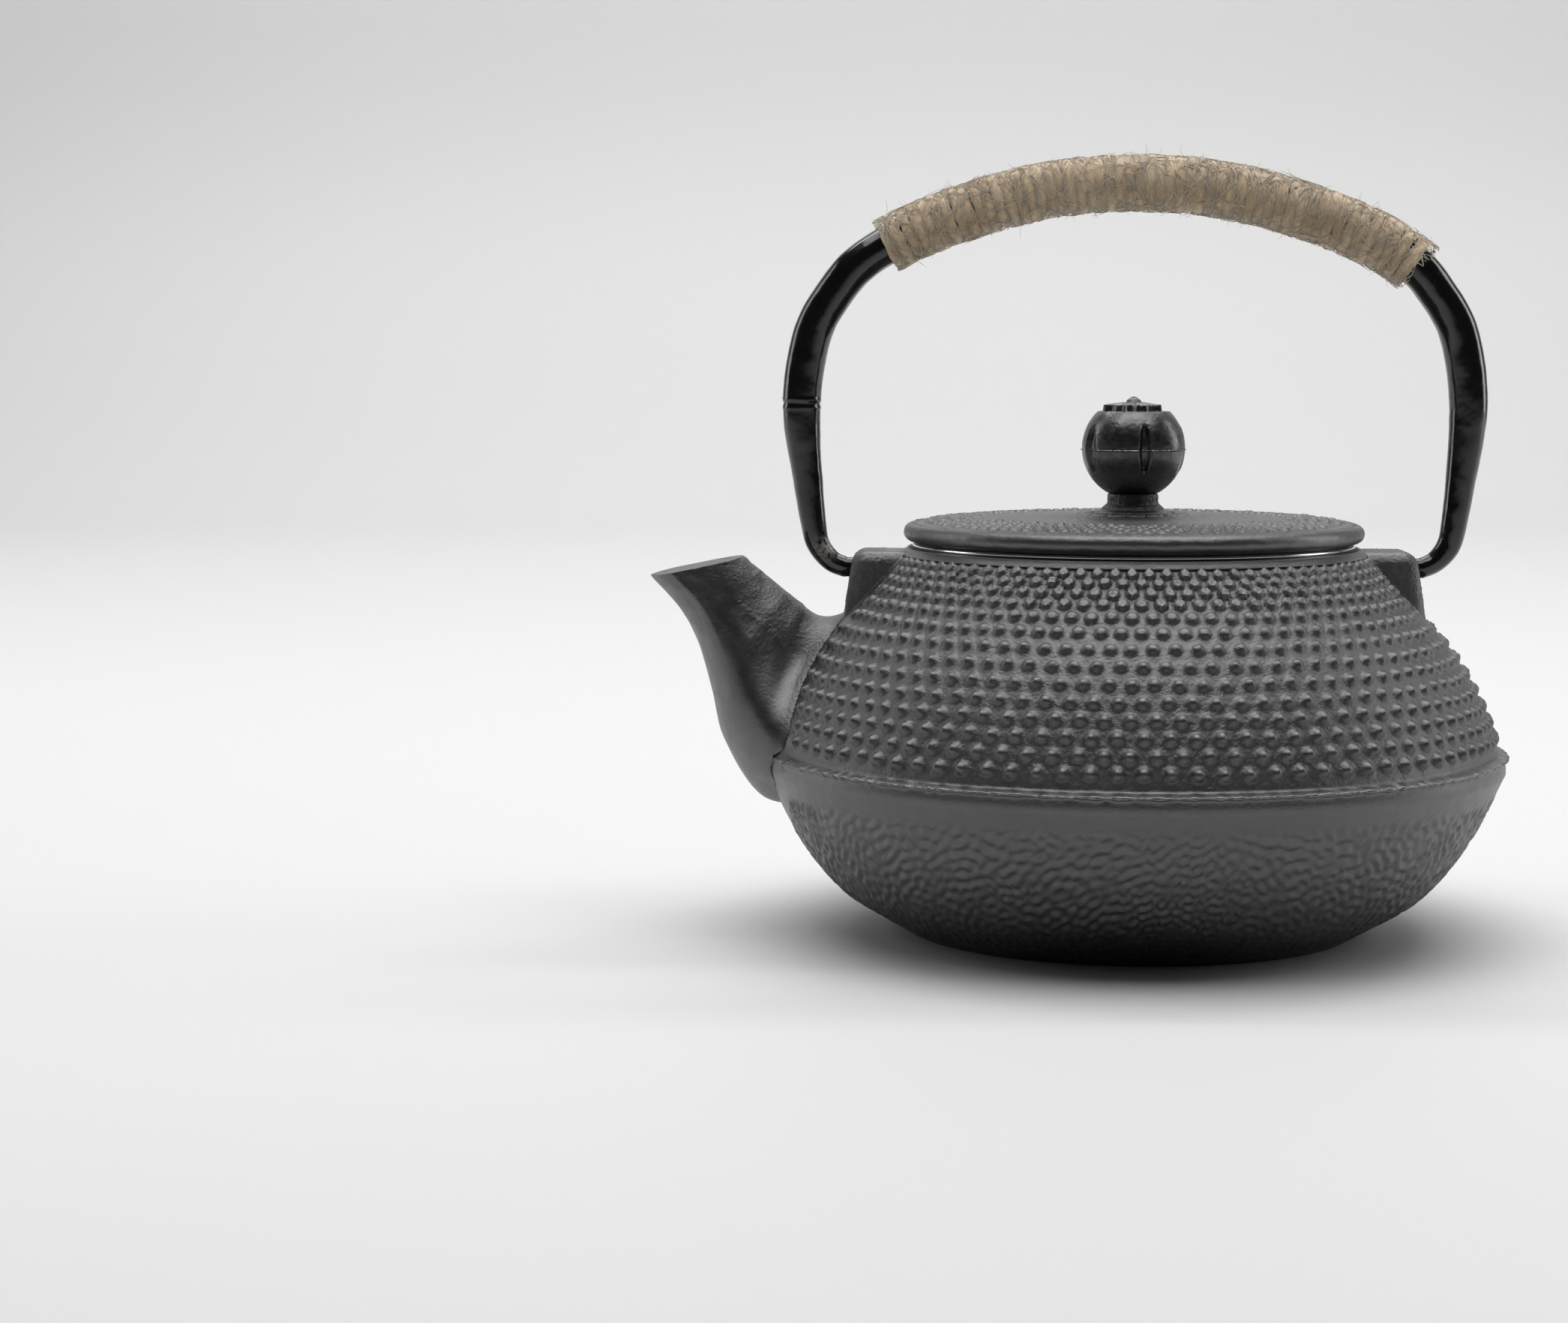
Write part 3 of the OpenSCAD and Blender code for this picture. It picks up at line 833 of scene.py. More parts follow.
def lid_lines():
    """Lid outline from its screw hole over the top, round the rim and back underneath."""
    plate = LID_TOP + 0.35
    boss = spline([(2.2, BOSS_TOP - 0.3), (2.5, BOSS_TOP), (BOSS_R - 0.5, BOSS_TOP),
                   (BOSS_R - 0.08, BOSS_TOP - 0.35), (BOSS_R, plate + 2.3), (BOSS_R + 0.5, plate + 1.75),
                   (BOSS_R + 0.95, plate + 1.35), (BOSS_R + 1.2, plate + 0.95),
                   (BOSS_R + 2.3, plate + 0.6), (BOSS_R + 2.9, plate + 0.15)], 5)
    top = evenly(spline([(BOSS_R + 3.2, plate), (20, LID_TOP - 0.05), (LID_R * 0.7, LID_TOP - 0.5),
                         (LID_R - 2.2, LID_EDGE_TOP)], 12), 0.34)
    turn = np.radians(np.linspace(84, -84, 18))
    crown = np.array([LID_R - LID_EDGE_R, LID_EDGE_TOP - LID_EDGE_R])
    rim = crown + LID_EDGE_R * np.stack([np.cos(turn), np.sin(turn)], axis=1)
    under = np.array([(LID_R - 2.4, LID_EDGE_Z), (LID_R - 2.7, RIM_TOP), (40.0, RIM_TOP), (37.6, RIM_TOP),
                      (37.5, RIM_TOP - 0.4), (37.5, 72.0), (37.45, 70.6), (37.2, 70.4), (35.8, 70.4),
                      (35.5, 70.7), (35.5, 74.0), (35.5, 76.5), (34.9, LID_EDGE_Z),
                      (25.0, 77.6), (15.0, 78.2), (6.2, LID_UNDER), (2.2, LID_UNDER)])
    return boss, top, rim, under


def lid_bumps(line):
    """Low, worn pads in staggered rings on the outer part of the lid."""
    angle = round_angles(LID_COLUMNS)
    pitch = 2 * math.pi / PADS_ROUND
    rng = np.random.default_rng(61)
    out = np.zeros((len(line), LID_COLUMNS))
    for k, r in enumerate(PAD_RINGS):
        turn = angle / pitch - 0.5 * (k % 2)
        number = np.round(turn).astype(int) % PADS_ROUND
        side = (turn - np.round(turn)) * pitch * r
        reach = line[:, 0][:, None] - r + 0.12 * rng.standard_normal(PADS_ROUND)[number][None, :]
        d = np.sqrt((side[None, :] / (0.42 * pitch * r)) ** 2 + (reach / 1.05) ** 2)
        tall = np.clip(0.5 + 0.08 * rng.standard_normal(PADS_ROUND), 0.2, 0.7)[number]
        out = np.maximum(out, ease(1.12 - d, 0, 0.5) * (0.75 + 0.25 * ease(d, 0.1, 0.55)) * tall)
    return out


def lid_petals(line):
    """The raised flower round the boss, with shallow hollows between its petals."""
    lobe = np.abs(np.cos(round_angles(LID_COLUMNS) * PETALS / 2)) ** 0.45
    edge = PETAL_R - 1.7 * (1 - lobe)[None, :]
    raised = 0.42 * ease(edge - line[:, 0][:, None], -0.1, 0.5)
    ring = (ease(line[:, 0], 7.6, 8.6) * ease(line[:, 0], 11.5, 10.0))[:, None]
    return raised - 0.12 * ease(1 - lobe, 0.3, 1)[None, :] * ring


def build_lid(material):
    boss, top, rim, under = lid_lines()
    line = np.vstack([boss, top, rim, under])
    ends = np.cumsum([len(boss), len(top), len(rim)])
    lift = np.zeros((len(line), LID_COLUMNS))
    rows = slice(ends[0], ends[1])
    pads = lid_bumps(top)
    lift[rows] += pads + lid_petals(top)
    rays = band_noise(len(top), LID_COLUMNS, 1.0, 0.12, 0.45, 0.4, 62, 1.0)
    rays *= (ease(top[:, 0], 12, 15) * ease(top[:, 0], 30, 27))[:, None]
    lift[rows] += 0.03 * rays + 0.05 * soft_noise(len(top), LID_COLUMNS, 0.34, 0.3, 0.7, 63)
    coarse = soft_noise(1, LID_COLUMNS, 0.34, 0.37, 1.6, 64)[0]
    fine = soft_noise(1, LID_COLUMNS, 0.34, 0.37, 0.6, 65)[0]
    wander = CREASE_R + 0.22 * coarse + 0.1 * fine
    near = slice(ends[0], ends[1] + 8)
    away = line[near, 0][:, None] - wander[None, :]
    lift[near] -= np.exp(-(away / 0.2) ** 2) * np.clip(0.34 + 0.22 * fine, 0.1, 0.6)[None, :]
    lift[near] += np.exp(-((away - 0.45) / 0.2) ** 2) * np.clip(0.1 + 0.14 * fine, 0, 0.3)[None, :]
    points = revolve(line, LID_COLUMNS, lift)
    tiers = slice(12, ends[0])
    rough = soft_noise(len(boss), LID_COLUMNS, 0.35, 0.3, 0.9, 66)[12:]
    points[tiers, :, :2] *= (1 + 0.012 * rough)[..., None]
    side = slice(ends[1], ends[2])
    wave = soft_noise(len(rim), LID_COLUMNS, 0.3, 0.37, 4, 67)
    points[side, :, :2] *= (1 + 0.0016 * wave)[..., None]
    faces = looped_faces(len(line), LID_COLUMNS)
    lid = new_object("lid_casting", points.reshape(-1, 3), faces, material)
    sand = np.full((len(line), LID_COLUMNS), 0.35)
    sand[:ends[0]] = 0.9
    sand[rows] = 0.95 - 0.5 * np.clip(pads * 3, 0, 1)
    sand[ends[1]:ends[2]] = 0.15 + 0.4 * ease(-np.arange(len(rim)), -6, -2)[:, None]
    set_attribute(lid, "sand", sand)
    finish_piece(lid, "lid", ("lid_plate",), 50)


# ---- knob
BALL_R, BALL_Z, BALL_FLAT = 10.1, 95.1, 7.2
LOBES, HOLE_R, HOLE_TOP = 5, 2.05, 93.5
KNOB_COLUMNS = 500
GROOVE_TURN, STAR_TURN = math.radians(-80), math.radians(-31)


def lobe_angle(angle, turn):
    """Angle from the nearest of the five lobes, in radians."""
    share = 2 * math.pi / LOBES
    return (angle - turn + share / 2) % share - share / 2


def knob_ball():
    """Rows of the ball from its top flat down, with the grooves and the parting line."""
    top, foot = math.acos(BALL_FLAT / BALL_R), math.pi - math.asin(4.95 / BALL_R)
    seam = math.acos(-0.3 / BALL_R)
    steps = np.concatenate([np.linspace(top, seam - 0.035, 62),
                            seam + np.linspace(-0.026, 0.026, 9),
                            np.linspace(seam + 0.035, foot, 62)])
    angle = round_angles(KNOB_COLUMNS)
    r, z = BALL_R * np.sin(steps), BALL_R * np.cos(steps)
    away = lobe_angle(angle, GROOVE_TURN)[None, :] * r[:, None]
    half = 1.45 * np.sqrt(np.clip(1 - (z / 4.9) ** 2, 0, 1)) ** 1.3 + 1e-6
    d = np.abs(away) / half[:, None]
    depth = np.where(np.abs(z)[:, None] < 4.9, ease(1.04 - d, 0, 0.75) * 0.95, 0)
    depth = depth * ease(half, 0, 0.7)[:, None]
    rim = np.exp(-((d - 1.12) / 0.13) ** 2) * 0.1 * ease(half, 0.2, 0.9)[:, None]
    ragged = soft_noise(1, KNOB_COLUMNS, 1, 0.09, 0.5, 71)[0]
    seam_bulge = np.exp(-((z + 0.3) / 0.12) ** 2)[:, None] * np.clip(0.2 + 0.12 * ragged, 0.05, 0.35)
    dents = 0.015 * soft_noise(len(steps), KNOB_COLUMNS, 0.2, 0.13, 1.6, 72)
    radius = BALL_R - depth + rim + seam_bulge + dents
    return np.stack([radius * np.sin(steps)[:, None] * np.cos(angle),
                     radius * np.sin(steps)[:, None] * np.sin(angle),
                     BALL_Z + radius * np.cos(steps)[:, None] + 0 * angle], axis=-1)


def knob_star():
    """Rows of the raised star from its centre out to the ball's flat."""
    flat_r = math.sqrt(BALL_R ** 2 - BALL_FLAT ** 2)
    r = np.concatenate([np.linspace(0.08, 1.6, 14), np.linspace(1.7, flat_r - 0.1, 56)])
    angle = round_angles(KNOB_COLUMNS)
    away = lobe_angle(angle, STAR_TURN)
    arm = np.exp(-(away / 0.19) ** 2)
    edge = 5.0 + 1.12 * arm - 0.35 * np.exp(-((np.abs(away) - 0.36) / 0.14) ** 2)
    inside = ease(edge[None, :] - r[:, None], -0.08, 0.2)
    plate = 1.12 + 0.85 * np.clip(1 - r[:, None] / 6.2, 0, 1) ** 1.3
    ridge = 0.22 * np.exp(-((np.abs(away)[None, :] * r[:, None]) / 0.75) ** 2)
    ridge = ridge * ease(r, 1.2, 2.4)[:, None]
    sink = 0.28 * ease(r, 2.2, 3.4)[:, None] * ease(np.abs(away), 0.2, 0.42)[None, :]
    sink = sink * ease(edge[None, :] - r[:, None], 0.35, 0.8)
    nub = 0.9 * np.sqrt(np.clip(1 - (r / 1.5) ** 2, 0, 1))[:, None]
    z = BALL_Z + BALL_FLAT + inside * (plate + ridge - sink) + nub
    z = z + 0.05 * soft_noise(len(r), KNOB_COLUMNS, 0.12, 0.05, 0.5, 73)
    return np.stack([r[:, None] * np.cos(angle), r[:, None] * np.sin(angle), z], axis=-1)


def build_knob(material):
    """The ball with its star, its foot and the blind hole for the screw."""
    foot_z = BOSS_TOP + 0.05
    foot = [(4.6, foot_z), (2.2, foot_z), (HOLE_R, BOSS_TOP + 0.3), (HOLE_R, HOLE_TOP)]
    rows = np.concatenate([knob_star(), knob_ball(), revolve(np.array(foot), KNOB_COLUMNS)])
    verts = np.vstack([rows.reshape(-1, 3), [rows[0].mean(axis=0), [0, 0, HOLE_TOP]]])
    knob = new_object("knob_ball", verts, fanned_faces(len(rows), KNOB_COLUMNS), material)
    z = verts[:, 2]
    seam = np.exp(-((z - BALL_Z + 0.3) / 0.07) ** 2) * (np.hypot(verts[:, 0], verts[:, 1]) > 6)
    set_attribute(knob, "bare", seam)
    finish_piece(knob, "lid", ("knob",), 45)


def turned(name, outline, columns, material):
    """A closed ring or plug turned from an outline that loops or ends on the axis."""
    line = np.array(outline, float)
    faces = (capped_faces if line[0, 0] < 0.02 else looped_faces)(len(line), columns)
    return new_object(name, revolve(line, columns).reshape(-1, 3), faces, material)


def build_fixings(material):
    """The washer under the lid, and the cross-head screw that holds the knob."""
    head_z = LID_UNDER - 3.4
    down = ((2.25, 0), (5.0, 0), (5.2, 0.2), (5.2, 0.6), (5.0, 0.8), (2.45, 0.8), (2.25, 0.6))
    washer = turned("washer_disc", [(r, LID_UNDER - d) for r, d in down], 96, material)
    finish_piece(washer, "lid", ("screw_washer",), 35)
    thread = [(1.95 if k % 2 else 1.72, 91.6 - 0.35 * k) for k in range(36)]
    outline = [(0.01, 92.2), (1.3, 92.2)] + thread + [
        (1.95, LID_UNDER - 0.9), (3.5, LID_UNDER - 0.9), (3.6, LID_UNDER - 1.1), (3.6, head_z + 1.2),
        (3.1, head_z + 0.45), (2.0, head_z), (0.01, head_z)]
    screw = turned("screw_body", outline, 96, material)
    half = np.array([(2.4, 0.5), (-2.4, 0.5), (-2.4, -0.5), (2.4, -0.5)])
    faces = [(3, 2, 1, 0), (4, 5, 6, 7), (0, 1, 5, 4), (1, 2, 6, 5), (2, 3, 7, 6), (3, 0, 4, 7)]
    for turn in (0, math.pi / 2):
        spin = np.array([[math.cos(turn), -math.sin(turn)], [math.sin(turn), math.cos(turn)]])
        verts = [(*p, z) for z in (head_z - 1, head_z + 1.25) for p in half @ spin.T]
        boolean(screw, new_object("slot", verts, faces), "DIFFERENCE")
    finish_piece(screw, "lid", ("knob_screw",), 35)


# ---- bail
BAIL_TOP, BAIL_ARC_R, BAIL_R, BAIL_GAP = 146.9, 102.9, 3.8, 0.4
# One leg from its pin up to the start of the arc: x, z and radius
LEG = [(56.8, 71.5, 2.05), (59.4, 72.7, 2.1), (61.8, 75.5, 2.3), (62.9, 79.3, 2.5), (64.3, 90, 3.0),
       (65.5, 104, 3.8), (63.2, 118.3, 3.8), (58.9, 125.4, 3.8)]


def bail_line():
    """Middle line of the bail from right to left as (x, z, radius), evenly spaced."""
    arc = [(x, BAIL_TOP - BAIL_ARC_R + math.sqrt(BAIL_ARC_R ** 2 - x * x), BAIL_R) for x in (53.5, 40, 20)]
    half = LEG + arc
    points = half + [(0, BAIL_TOP, BAIL_R)] + [(-x, z, r) for x, z, r in half[::-1]]
    line = evenly(spline(points, 24), BAIL_GAP)
    weight = np.exp(-(np.arange(-30, 31) * BAIL_GAP / 4.5) ** 2)
    far = np.arange(len(line)) * BAIL_GAP
    high = np.minimum(ease(far, 14, 26), ease(far[::-1], 14, 26))[:, None]
    smooth = np.stack([np.convolve(np.pad(line[:, k], 30, "edge"), weight / weight.sum(), "valid")
                       for k in range(3)], axis=1)
    return line * (1 - high) + smooth * high


BAIL_LINE = bail_line()


def bail_frame(x_at):
    """Point, unit direction and outward normal of the bail's middle line where it crosses x."""
    top = BAIL_LINE[np.abs(BAIL_LINE[:, 0]) < 60]
    top = top[top[:, 1] > 118]
    along = np.gradient(top[:, :2], axis=0)
    along /= np.linalg.norm(along, axis=1, keepdims=True)
    at = np.asarray(x_at, float)
    x = -top[:, 0]
    z = np.interp(-at, x, top[:, 1])
    tx, tz = np.interp(-at, x, along[:, 0]), np.interp(-at, x, along[:, 1])
    point = np.stack([at, np.zeros_like(at), z], axis=-1)
    direction = np.stack([tx, np.zeros_like(at), tz], axis=-1)
    normal = np.stack([tz, np.zeros_like(at), -tx], axis=-1)
    return point, direction, normal


def build_bail(material):
    """The bar with its two pins and the pinched seam on its left leg."""
    line = BAIL_LINE
    far = distances(line[:, :2])
    sides = 64
    points = np.stack([line[:, 0], np.zeros(len(line)), line[:, 1]], axis=1)
    radii = np.repeat(line[:, 2][:, None], sides, axis=1)
    radii += 0.05 * soft_noise(len(line), sides, 0.4, 0.35, 5, 81)
    radii += 0.012 * soft_noise(len(line), sides, 0.4, 0.35, 0.9, 82)
    seam = np.argmin(np.hypot(line[:, 0] + 65.5, line[:, 1] - 104))
    near = np.abs(far - far[seam])
    radii += (0.1 * np.exp(-((near - 0.75) / 0.35) ** 2) - 0.14 * np.exp(-(near / 0.3) ** 2))[:, None]
    pin = np.array([(48.9, 1.6), (49.2, 1.85), (49.6, 1.9), (52, 1.9), (54.4, 1.9), (56.2, 1.95)])
    ends = np.array([(x, 0, HINGE_Z) for x, _ in pin])
    end_radii = np.repeat(pin[:, 1:], sides, axis=1)
    points = np.vstack([ends, points, ends[::-1] * (-1, 1, 1)])
    radii = np.vstack([end_radii, radii, end_radii[::-1]])
    verts, faces = tube(points, radii, sides, (0, 1, 0))
    bail = new_object("bail_bar", verts, faces, material)
    worn = np.linalg.norm(verts - np.array([-60.2, -1.4, 75.6]), axis=1)
    set_attribute(bail, "bare", np.exp(-(worn / 1.9) ** 2))
    finish_piece(bail, "handle", ("bail",), 60)


# ---- jute
WRAP_R, WRAP_RIGHT, WRAP_LEFT, WRAP_TURNS = 5.3, wrap_high[0] - 1.8, wrap_low[0] + 1.6, 53


def on_wrap(x, angle, r):
    """Points at distance r from the bail's middle line; angle 0 is outward, 90 degrees to the back."""
    point, _, normal = bail_frame(x)
    side = np.array([0.0, 1.0, 0.0])
    return (point + normal * (r * np.cos(angle))[..., None]
            + side * (r * np.sin(angle))[..., None])


def strands(lines, radii, sides):
    """Vertices and faces of many thin closed tubes with the same point count."""
    lines = np.asarray(lines, float)
    n, m = lines.shape[:2]
    along = np.gradient(lines, axis=1)
    along /= np.maximum(np.linalg.norm(along, axis=2, keepdims=True), 1e-9)
    up = np.where(np.abs(along[:, :1, 1:2]) > 0.8, [[[1.0, 0, 0]]], [[[0, 1.0, 0]]])
    u = np.cross(along, up)
    u /= np.maximum(np.linalg.norm(u, axis=2, keepdims=True), 1e-9)
    v = np.cross(along, u)
    a = round_angles(sides)
    ring = (lines[:, :, None] + radii[:, :, None, None]
            * (np.cos(a)[:, None] * u[:, :, None] + np.sin(a)[:, None] * v[:, :, None]))
    base = np.array(grid_faces(m, sides))[:, ::-1]
    starts = np.arange(n) * m * sides
    quads = (base[None] + starts[:, None, None]).reshape(-1, 4).tolist()
    cap = np.arange(sides)
    quads += (starts[:, None] + cap).tolist()
    quads += (starts[:, None] + (m - 1) * sides + cap[::-1]).tolist()
    return ring.reshape(-1, 3), quads


def add_fibre_map(obj, lengths, across):
    """UV map whose U runs along the fibre in millimetres and V round it."""
    layer = obj.data.uv_layers.new(name="fibre")
    corner = np.empty(len(obj.data.loops), np.int64)
    obj.data.loops.foreach_get("vertex_index", corner)
    uv = np.stack([lengths[corner], across[corner]], axis=1)
    layer.data.foreach_set("uv", uv.astype(np.float32).ravel())


def jute_twine(material):
    """The flattened, two-ply twine as one long coil round the bail."""
    per_turn, sides = 40, 22
    count = WRAP_TURNS * per_turn + 1
    turn = np.arange(count) / per_turn
    rng = np.random.default_rng(91)
    jitter = np.interp(turn, np.arange(WRAP_TURNS + 2), 0.16 * rng.standard_normal(WRAP_TURNS + 2))
    x = WRAP_RIGHT + (WRAP_LEFT - WRAP_RIGHT) * (turn / WRAP_TURNS) + jitter
    x = x + 0.35 * np.sin(2 * math.pi * turn + 0.6)
    swell = soft_noise(1, count, 1, 0.7, 9, 92)[0] * 0.1 + soft_noise(1, count, 1, 0.7, 2.5, 93)[0] * 0.09
    angle = 2 * math.pi * turn
    centre = on_wrap(x, angle, 4.62 + 0.5 * swell)
    length = distances(centre)
    point, direction, _ = bail_frame(x)
    away = centre - point
    away /= np.linalg.norm(away, axis=1, keepdims=True)
    a = round_angles(sides)
    ply = np.abs(np.cos(a[None, :] - 2 * math.pi * length[:, None] / 7.5))
    lumps = soft_noise(count, sides, 0.7, 0.3, 0.7, 94)
    surface = 0.9 + 0.16 * ply + 0.07 * lumps
    wide = (1.14 + 0.12 * jitter + swell)[:, None] * surface
    tall = (0.78 + swell)[:, None] * surface
    fade = np.minimum(ease(turn, 0, 0.35), ease(WRAP_TURNS - turn, 0, 0.35))[:, None] * 0.75 + 0.25
    ring = (centre[:, None] + (wide * fade * np.cos(a))[..., None] * direction[:, None]
            + (tall * fade * np.sin(a))[..., None] * away[:, None])
    twine = new_object("jute_twine", ring.reshape(-1, 3), capped_faces(count, sides), material)
    across = np.tile(a / (2 * math.pi) * 7, count) + np.repeat(length / 7.5, sides)
    add_fibre_map(twine, np.repeat(length, sides), across)
    finish_piece(twine, "handle", ("grip_wrap",))


def jute_fibres(name, material, count, reach, lift, thick, slant, seed):
    """Loose fibres lying on the wrap; lift says how far their free ends stand off."""
    rng = np.random.default_rng(seed)
    steps, sides = 12, 5
    t = np.linspace(0, 1, steps)[None, :]
    length = rng.uniform(reach[0], reach[1], (count, 1))
    heading = math.pi / 2 * rng.choice([-1, 1], (count, 1)) + slant * rng.standard_normal((count, 1))
    bend = rng.normal(0, 0.9, (count, 1))
    direction = heading + bend * (t - 0.5) + 0.35 * np.sin(t * 7 + rng.uniform(0, 6, (count, 1)))
    move = length / (steps - 1)
    dx, da = np.cos(direction) * move, np.sin(direction) * move / WRAP_R
    start_x = rng.uniform(WRAP_LEFT - 0.3, WRAP_RIGHT + 0.3, (count, 1))
    x = start_x + np.cumsum(dx, axis=1) - dx[:, :1]
    x = WRAP_LEFT - 0.6 + np.abs(x - WRAP_LEFT + 0.6)     # turned back at the wrap's ends
    x = WRAP_RIGHT + 0.4 - np.abs(WRAP_RIGHT + 0.4 - x)
    angle = rng.uniform(0, 2 * math.pi, (count, 1)) + np.cumsum(da, axis=1)
    free = rng.exponential(lift, (count, 1))
    hop = np.abs(np.sin(t * math.pi * rng.uniform(0.8, 2.4, (count, 1)))) * rng.uniform(0, 0.35, (count, 1))
    r = WRAP_R + 0.02 + hop + free * t ** 2.2
    lines = on_wrap(x, angle, r)
    radii = thick * rng.uniform(0.6, 1.3, (count, 1)) * (1 - 0.75 * t ** 3) * (0.4 + 0.6 * ease(t, 0, 0.15))
    obj = new_object(name, *strands(lines, radii, sides), material)
    lengths = np.repeat((t * length + rng.uniform(0, 50, (count, 1))).ravel(), sides)
    add_fibre_map(obj, lengths, np.tile(np.arange(sides) / sides, count * steps))
    finish_piece(obj, "handle", ("grip_wrap",))


def build_wrap():
    """Twine, close fibres, longer loops and short standing hairs."""
    jute_twine(jute("grip_jute", (0.55, 0.35, 0.17), (0.98, 0.77, 0.5)))
    pale = jute("jute_pale", (0.8, 0.6, 0.36), (1.0, 0.9, 0.72))
    jute_fibres("jute_fibres", pale, 1500, (2.5, 8), 0.08, 0.085, 0.6, 101)
    jute_fibres("jute_loops", pale, 420, (8, 20), 0.2, 0.075, 1.1, 102)
    jute_fibres("jute_hairs", pale, 600, (1.2, 3.2), 0.8, 0.045, 1.1, 103)


# ---- infuser
BASKET_R, NECK_Z, BASKET_Z, SHEET = 38.8, 66.0, 24.0, 0.6
MESH_PITCH, WALL_WIRE_R, FLOOR_WIRE_R = 1.5, 0.17, 0.16


def build_infuser(bright, wire):
    """The basket: pressed rim, crimped ring, woven wall and woven floor."""
    flange = RIM_TOP - 0.8
    outer = [(BASKET_R - SHEET, NECK_Z), (BASKET_R - SHEET, RIM_TOP - 0.5),
             (BASKET_R - 0.3, RIM_TOP - 0.12), (BASKET_R + 0.3, RIM_TOP), (42.6, RIM_TOP)]
    turn = np.radians(np.linspace(80, -170, 14))
    roll = [(43.0 + 0.4 * math.cos(a), RIM_TOP - 0.4 + 0.4 * math.sin(a)) for a in turn]
    inner = [(42.2, flange + 0.25), (BASKET_R + 0.4, flange + 0.2), (BASKET_R, flange - 0.3),
             (BASKET_R, 70.5), (BASKET_R + 0.12, 70.2), (BASKET_R + 0.12, 69.4), (BASKET_R, 69.1),
             (BASKET_R, NECK_Z)]
    rim = turned("infuser_rim_pressed", outer + roll + inner, 256, bright)
    finish_piece(rim, "infuser", ("infuser_rim",), 40)

    section = [(-4, 1), (-0.9, 1), (-SHEET, 1.3), (-SHEET, 2.6), (-0.5, 3), (-0.1, 3), (0.02, 2.4),
               (0, 0.9), (-0.1, 0.4), (-0.6, 0), (-4, 0)]
    outline = [(BASKET_R + r, BASKET_Z + z) for r, z in section]
    ring = turned("infuser_ring_crimped", outline, 256, bright)
    finish_piece(ring, "infuser", ("infuser_base_ring",), 40)
    wire_wall(wire)
    wire_floor(wire)


def wire_wall(material):
    """Rings and posts woven over and under each other."""
    pitch, wire, r = MESH_PITCH, WALL_WIRE_R, BASKET_R - 0.3
    around = int(2 * math.pi * r / pitch / 2) * 2
    heights = np.arange(BASKET_Z + 2.4, NECK_Z + 1.2, pitch)
    a = np.arange(around * 2 + 1) * math.pi / around
    weave = wire * np.cos(a * around)
    rings = [np.stack([(r + weave * (-1) ** k) * np.cos(a), (r + weave * (-1) ** k) * np.sin(a),
                       np.full(len(a), z)], axis=1) for k, z in enumerate(heights)]
    zs = np.linspace(heights[0] - 0.4, heights[-1] + 0.4, len(heights) * 2 + 1)
    posts = []
    for j in range(around):
        out = r - wire * (-1) ** j * np.cos((zs - heights[0]) * math.pi / pitch)
        b = j * 2 * math.pi / around
        posts.append(np.stack([out * math.cos(b), out * math.sin(b), zs], axis=1))
    one = strands(rings, np.full((len(rings), len(a)), wire), 5)
    two = strands(posts, np.full((len(posts), len(zs)), wire), 5)
    obj = joined("infuser_wire_wall", one, two, material)
    finish_piece(obj, "infuser", ("infuser_wall",))


def wire_floor(material):
    """A flat disc of wires woven over and under each other."""
    pitch, wire, r, z = MESH_PITCH, FLOOR_WIRE_R, BASKET_R - SHEET - 0.1, BASKET_Z + 1.3
    steps = 72
    lines = ([], [])
    at = np.arange(-r + 0.9, r - 0.5, pitch)
    for k, c in enumerate(at):
        half = math.sqrt(r * r - c * c)
        t = np.linspace(-half, half, steps)
        wave = wire * np.cos((t - at[0]) * math.pi / pitch) * (-1) ** k
        lines[0].append(np.stack([t, np.full(steps, c), z + wave], axis=1))
        lines[1].append(np.stack([np.full(steps, c), t, z - wave], axis=1))
    one, two = (strands(group, np.full((len(group), steps), wire), 4) for group in lines)
    obj = joined("infuser_wire_floor", one, two, material)
    finish_piece(obj, "infuser", ("infuser_floor",))


def joined(name, one, two, material):
    """One object from two sets of vertices and faces."""
    start = len(one[0])
    return new_object(name, np.vstack([one[0], two[0]]),
                      one[1] + [[k + start for k in f] for f in two[1]], material)


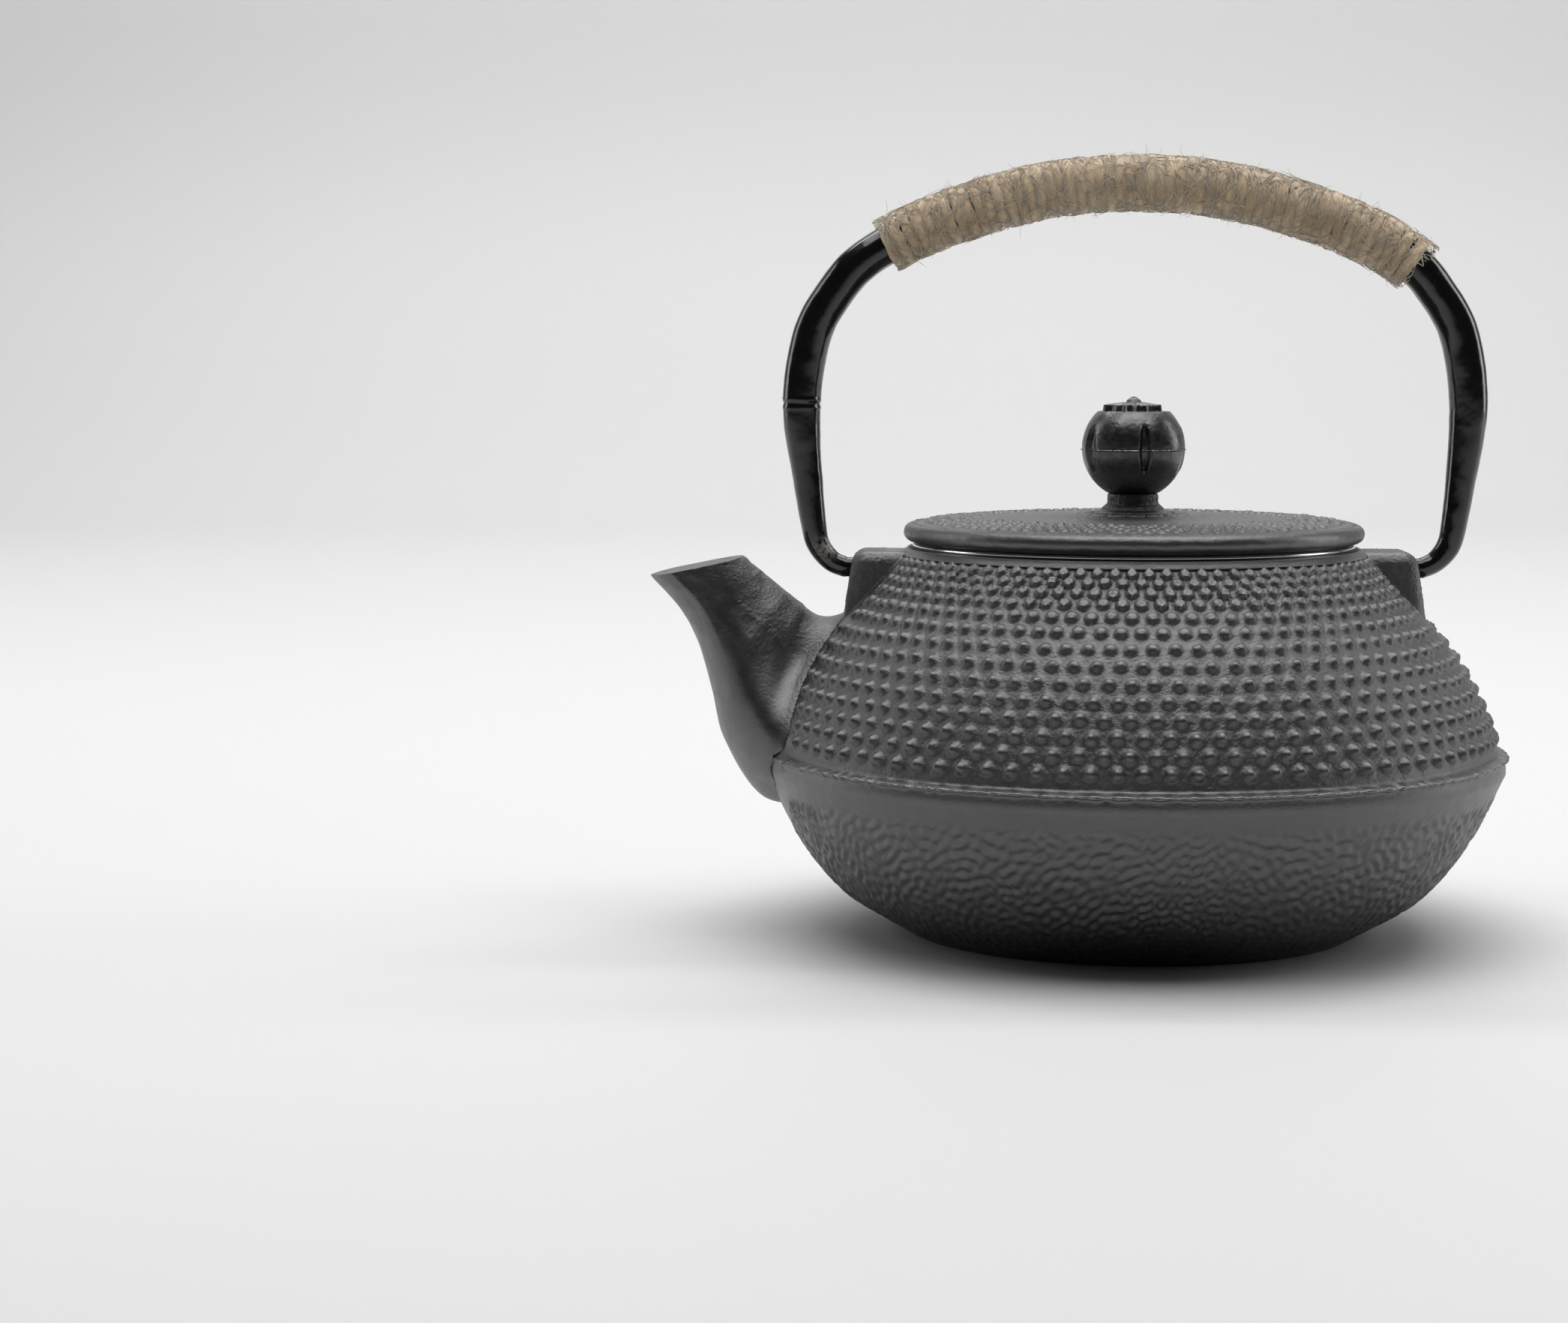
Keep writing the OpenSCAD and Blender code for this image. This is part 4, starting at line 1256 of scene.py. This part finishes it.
# ---- studio
SWEEP_WHITE, WORLD_LIGHT = 0.68, 0.04


def make_studio():
    """A white sweep with soft boxes above, at both sides and on the back wall, in metres."""
    front, depth, width, bend, tall, steps = -2.0, 1.4, 3.0, 0.35, 2.4, 12
    line = [(front, 0.0), (depth, 0.0)]
    for k in range(1, steps + 1):
        a = k / steps * math.pi / 2
        line.append((depth + bend * math.sin(a), bend * (1 - math.cos(a))))
    line.append((depth + bend, tall))
    verts = [(x, y, z) for y, z in line for x in (-width, width)]
    faces = [(2 * i, 2 * i + 1, 2 * i + 3, 2 * i + 2) for i in range(len(line) - 1)]
    sweep = new_object("studio_sweep", np.array(verts) / MM, faces,
                       studio_white("sweep_white", SWEEP_WHITE))

    def softbox(name, place, aim, size, power):
        data = bpy.data.lights.new(name, "AREA")
        data.shape, data.size, data.size_y, data.energy = "RECTANGLE", size[0], size[1], power
        lamp = bpy.data.objects.new(name, data)
        lamp.location = place
        direction = Vector(aim) - Vector(place)
        lamp.rotation_euler = direction.to_track_quat("-Z", "Y").to_euler()
        bpy.context.collection.objects.link(lamp)

    softbox("top_box", (0.0, -0.06, 0.95), (0, -0.06, 0), (1.15, 0.86), 9.6)
    softbox("left_box", (-1.1, 0.35, 0.45), (0, 0, 0.06), (0.4, 0.9), 2.6)
    softbox("right_box", (1.1, 0.25, 0.45), (0, 0, 0.06), (0.4, 0.9), 3.6)
    softbox("back_wash", (0.0, 0.9, 1.6), (0, 1.6, 0.4), (2.4, 0.4), 29)
    world = bpy.data.worlds.new("world")
    world.use_nodes = True
    world.node_tree.nodes["Background"].inputs[0].default_value = (1, 1, 1, 1)
    world.node_tree.nodes["Background"].inputs[1].default_value = WORLD_LIGHT
    bpy.context.scene.world = world
    bpy.context.scene.view_settings.view_transform = "Standard"


make_camera()
build_pot(pot_iron())
build_lid(lid_iron())
build_knob(knob_iron())
build_fixings(zinc())
build_bail(bail_enamel())
build_wrap()
build_infuser(polished_steel(), mesh_steel())
make_studio()
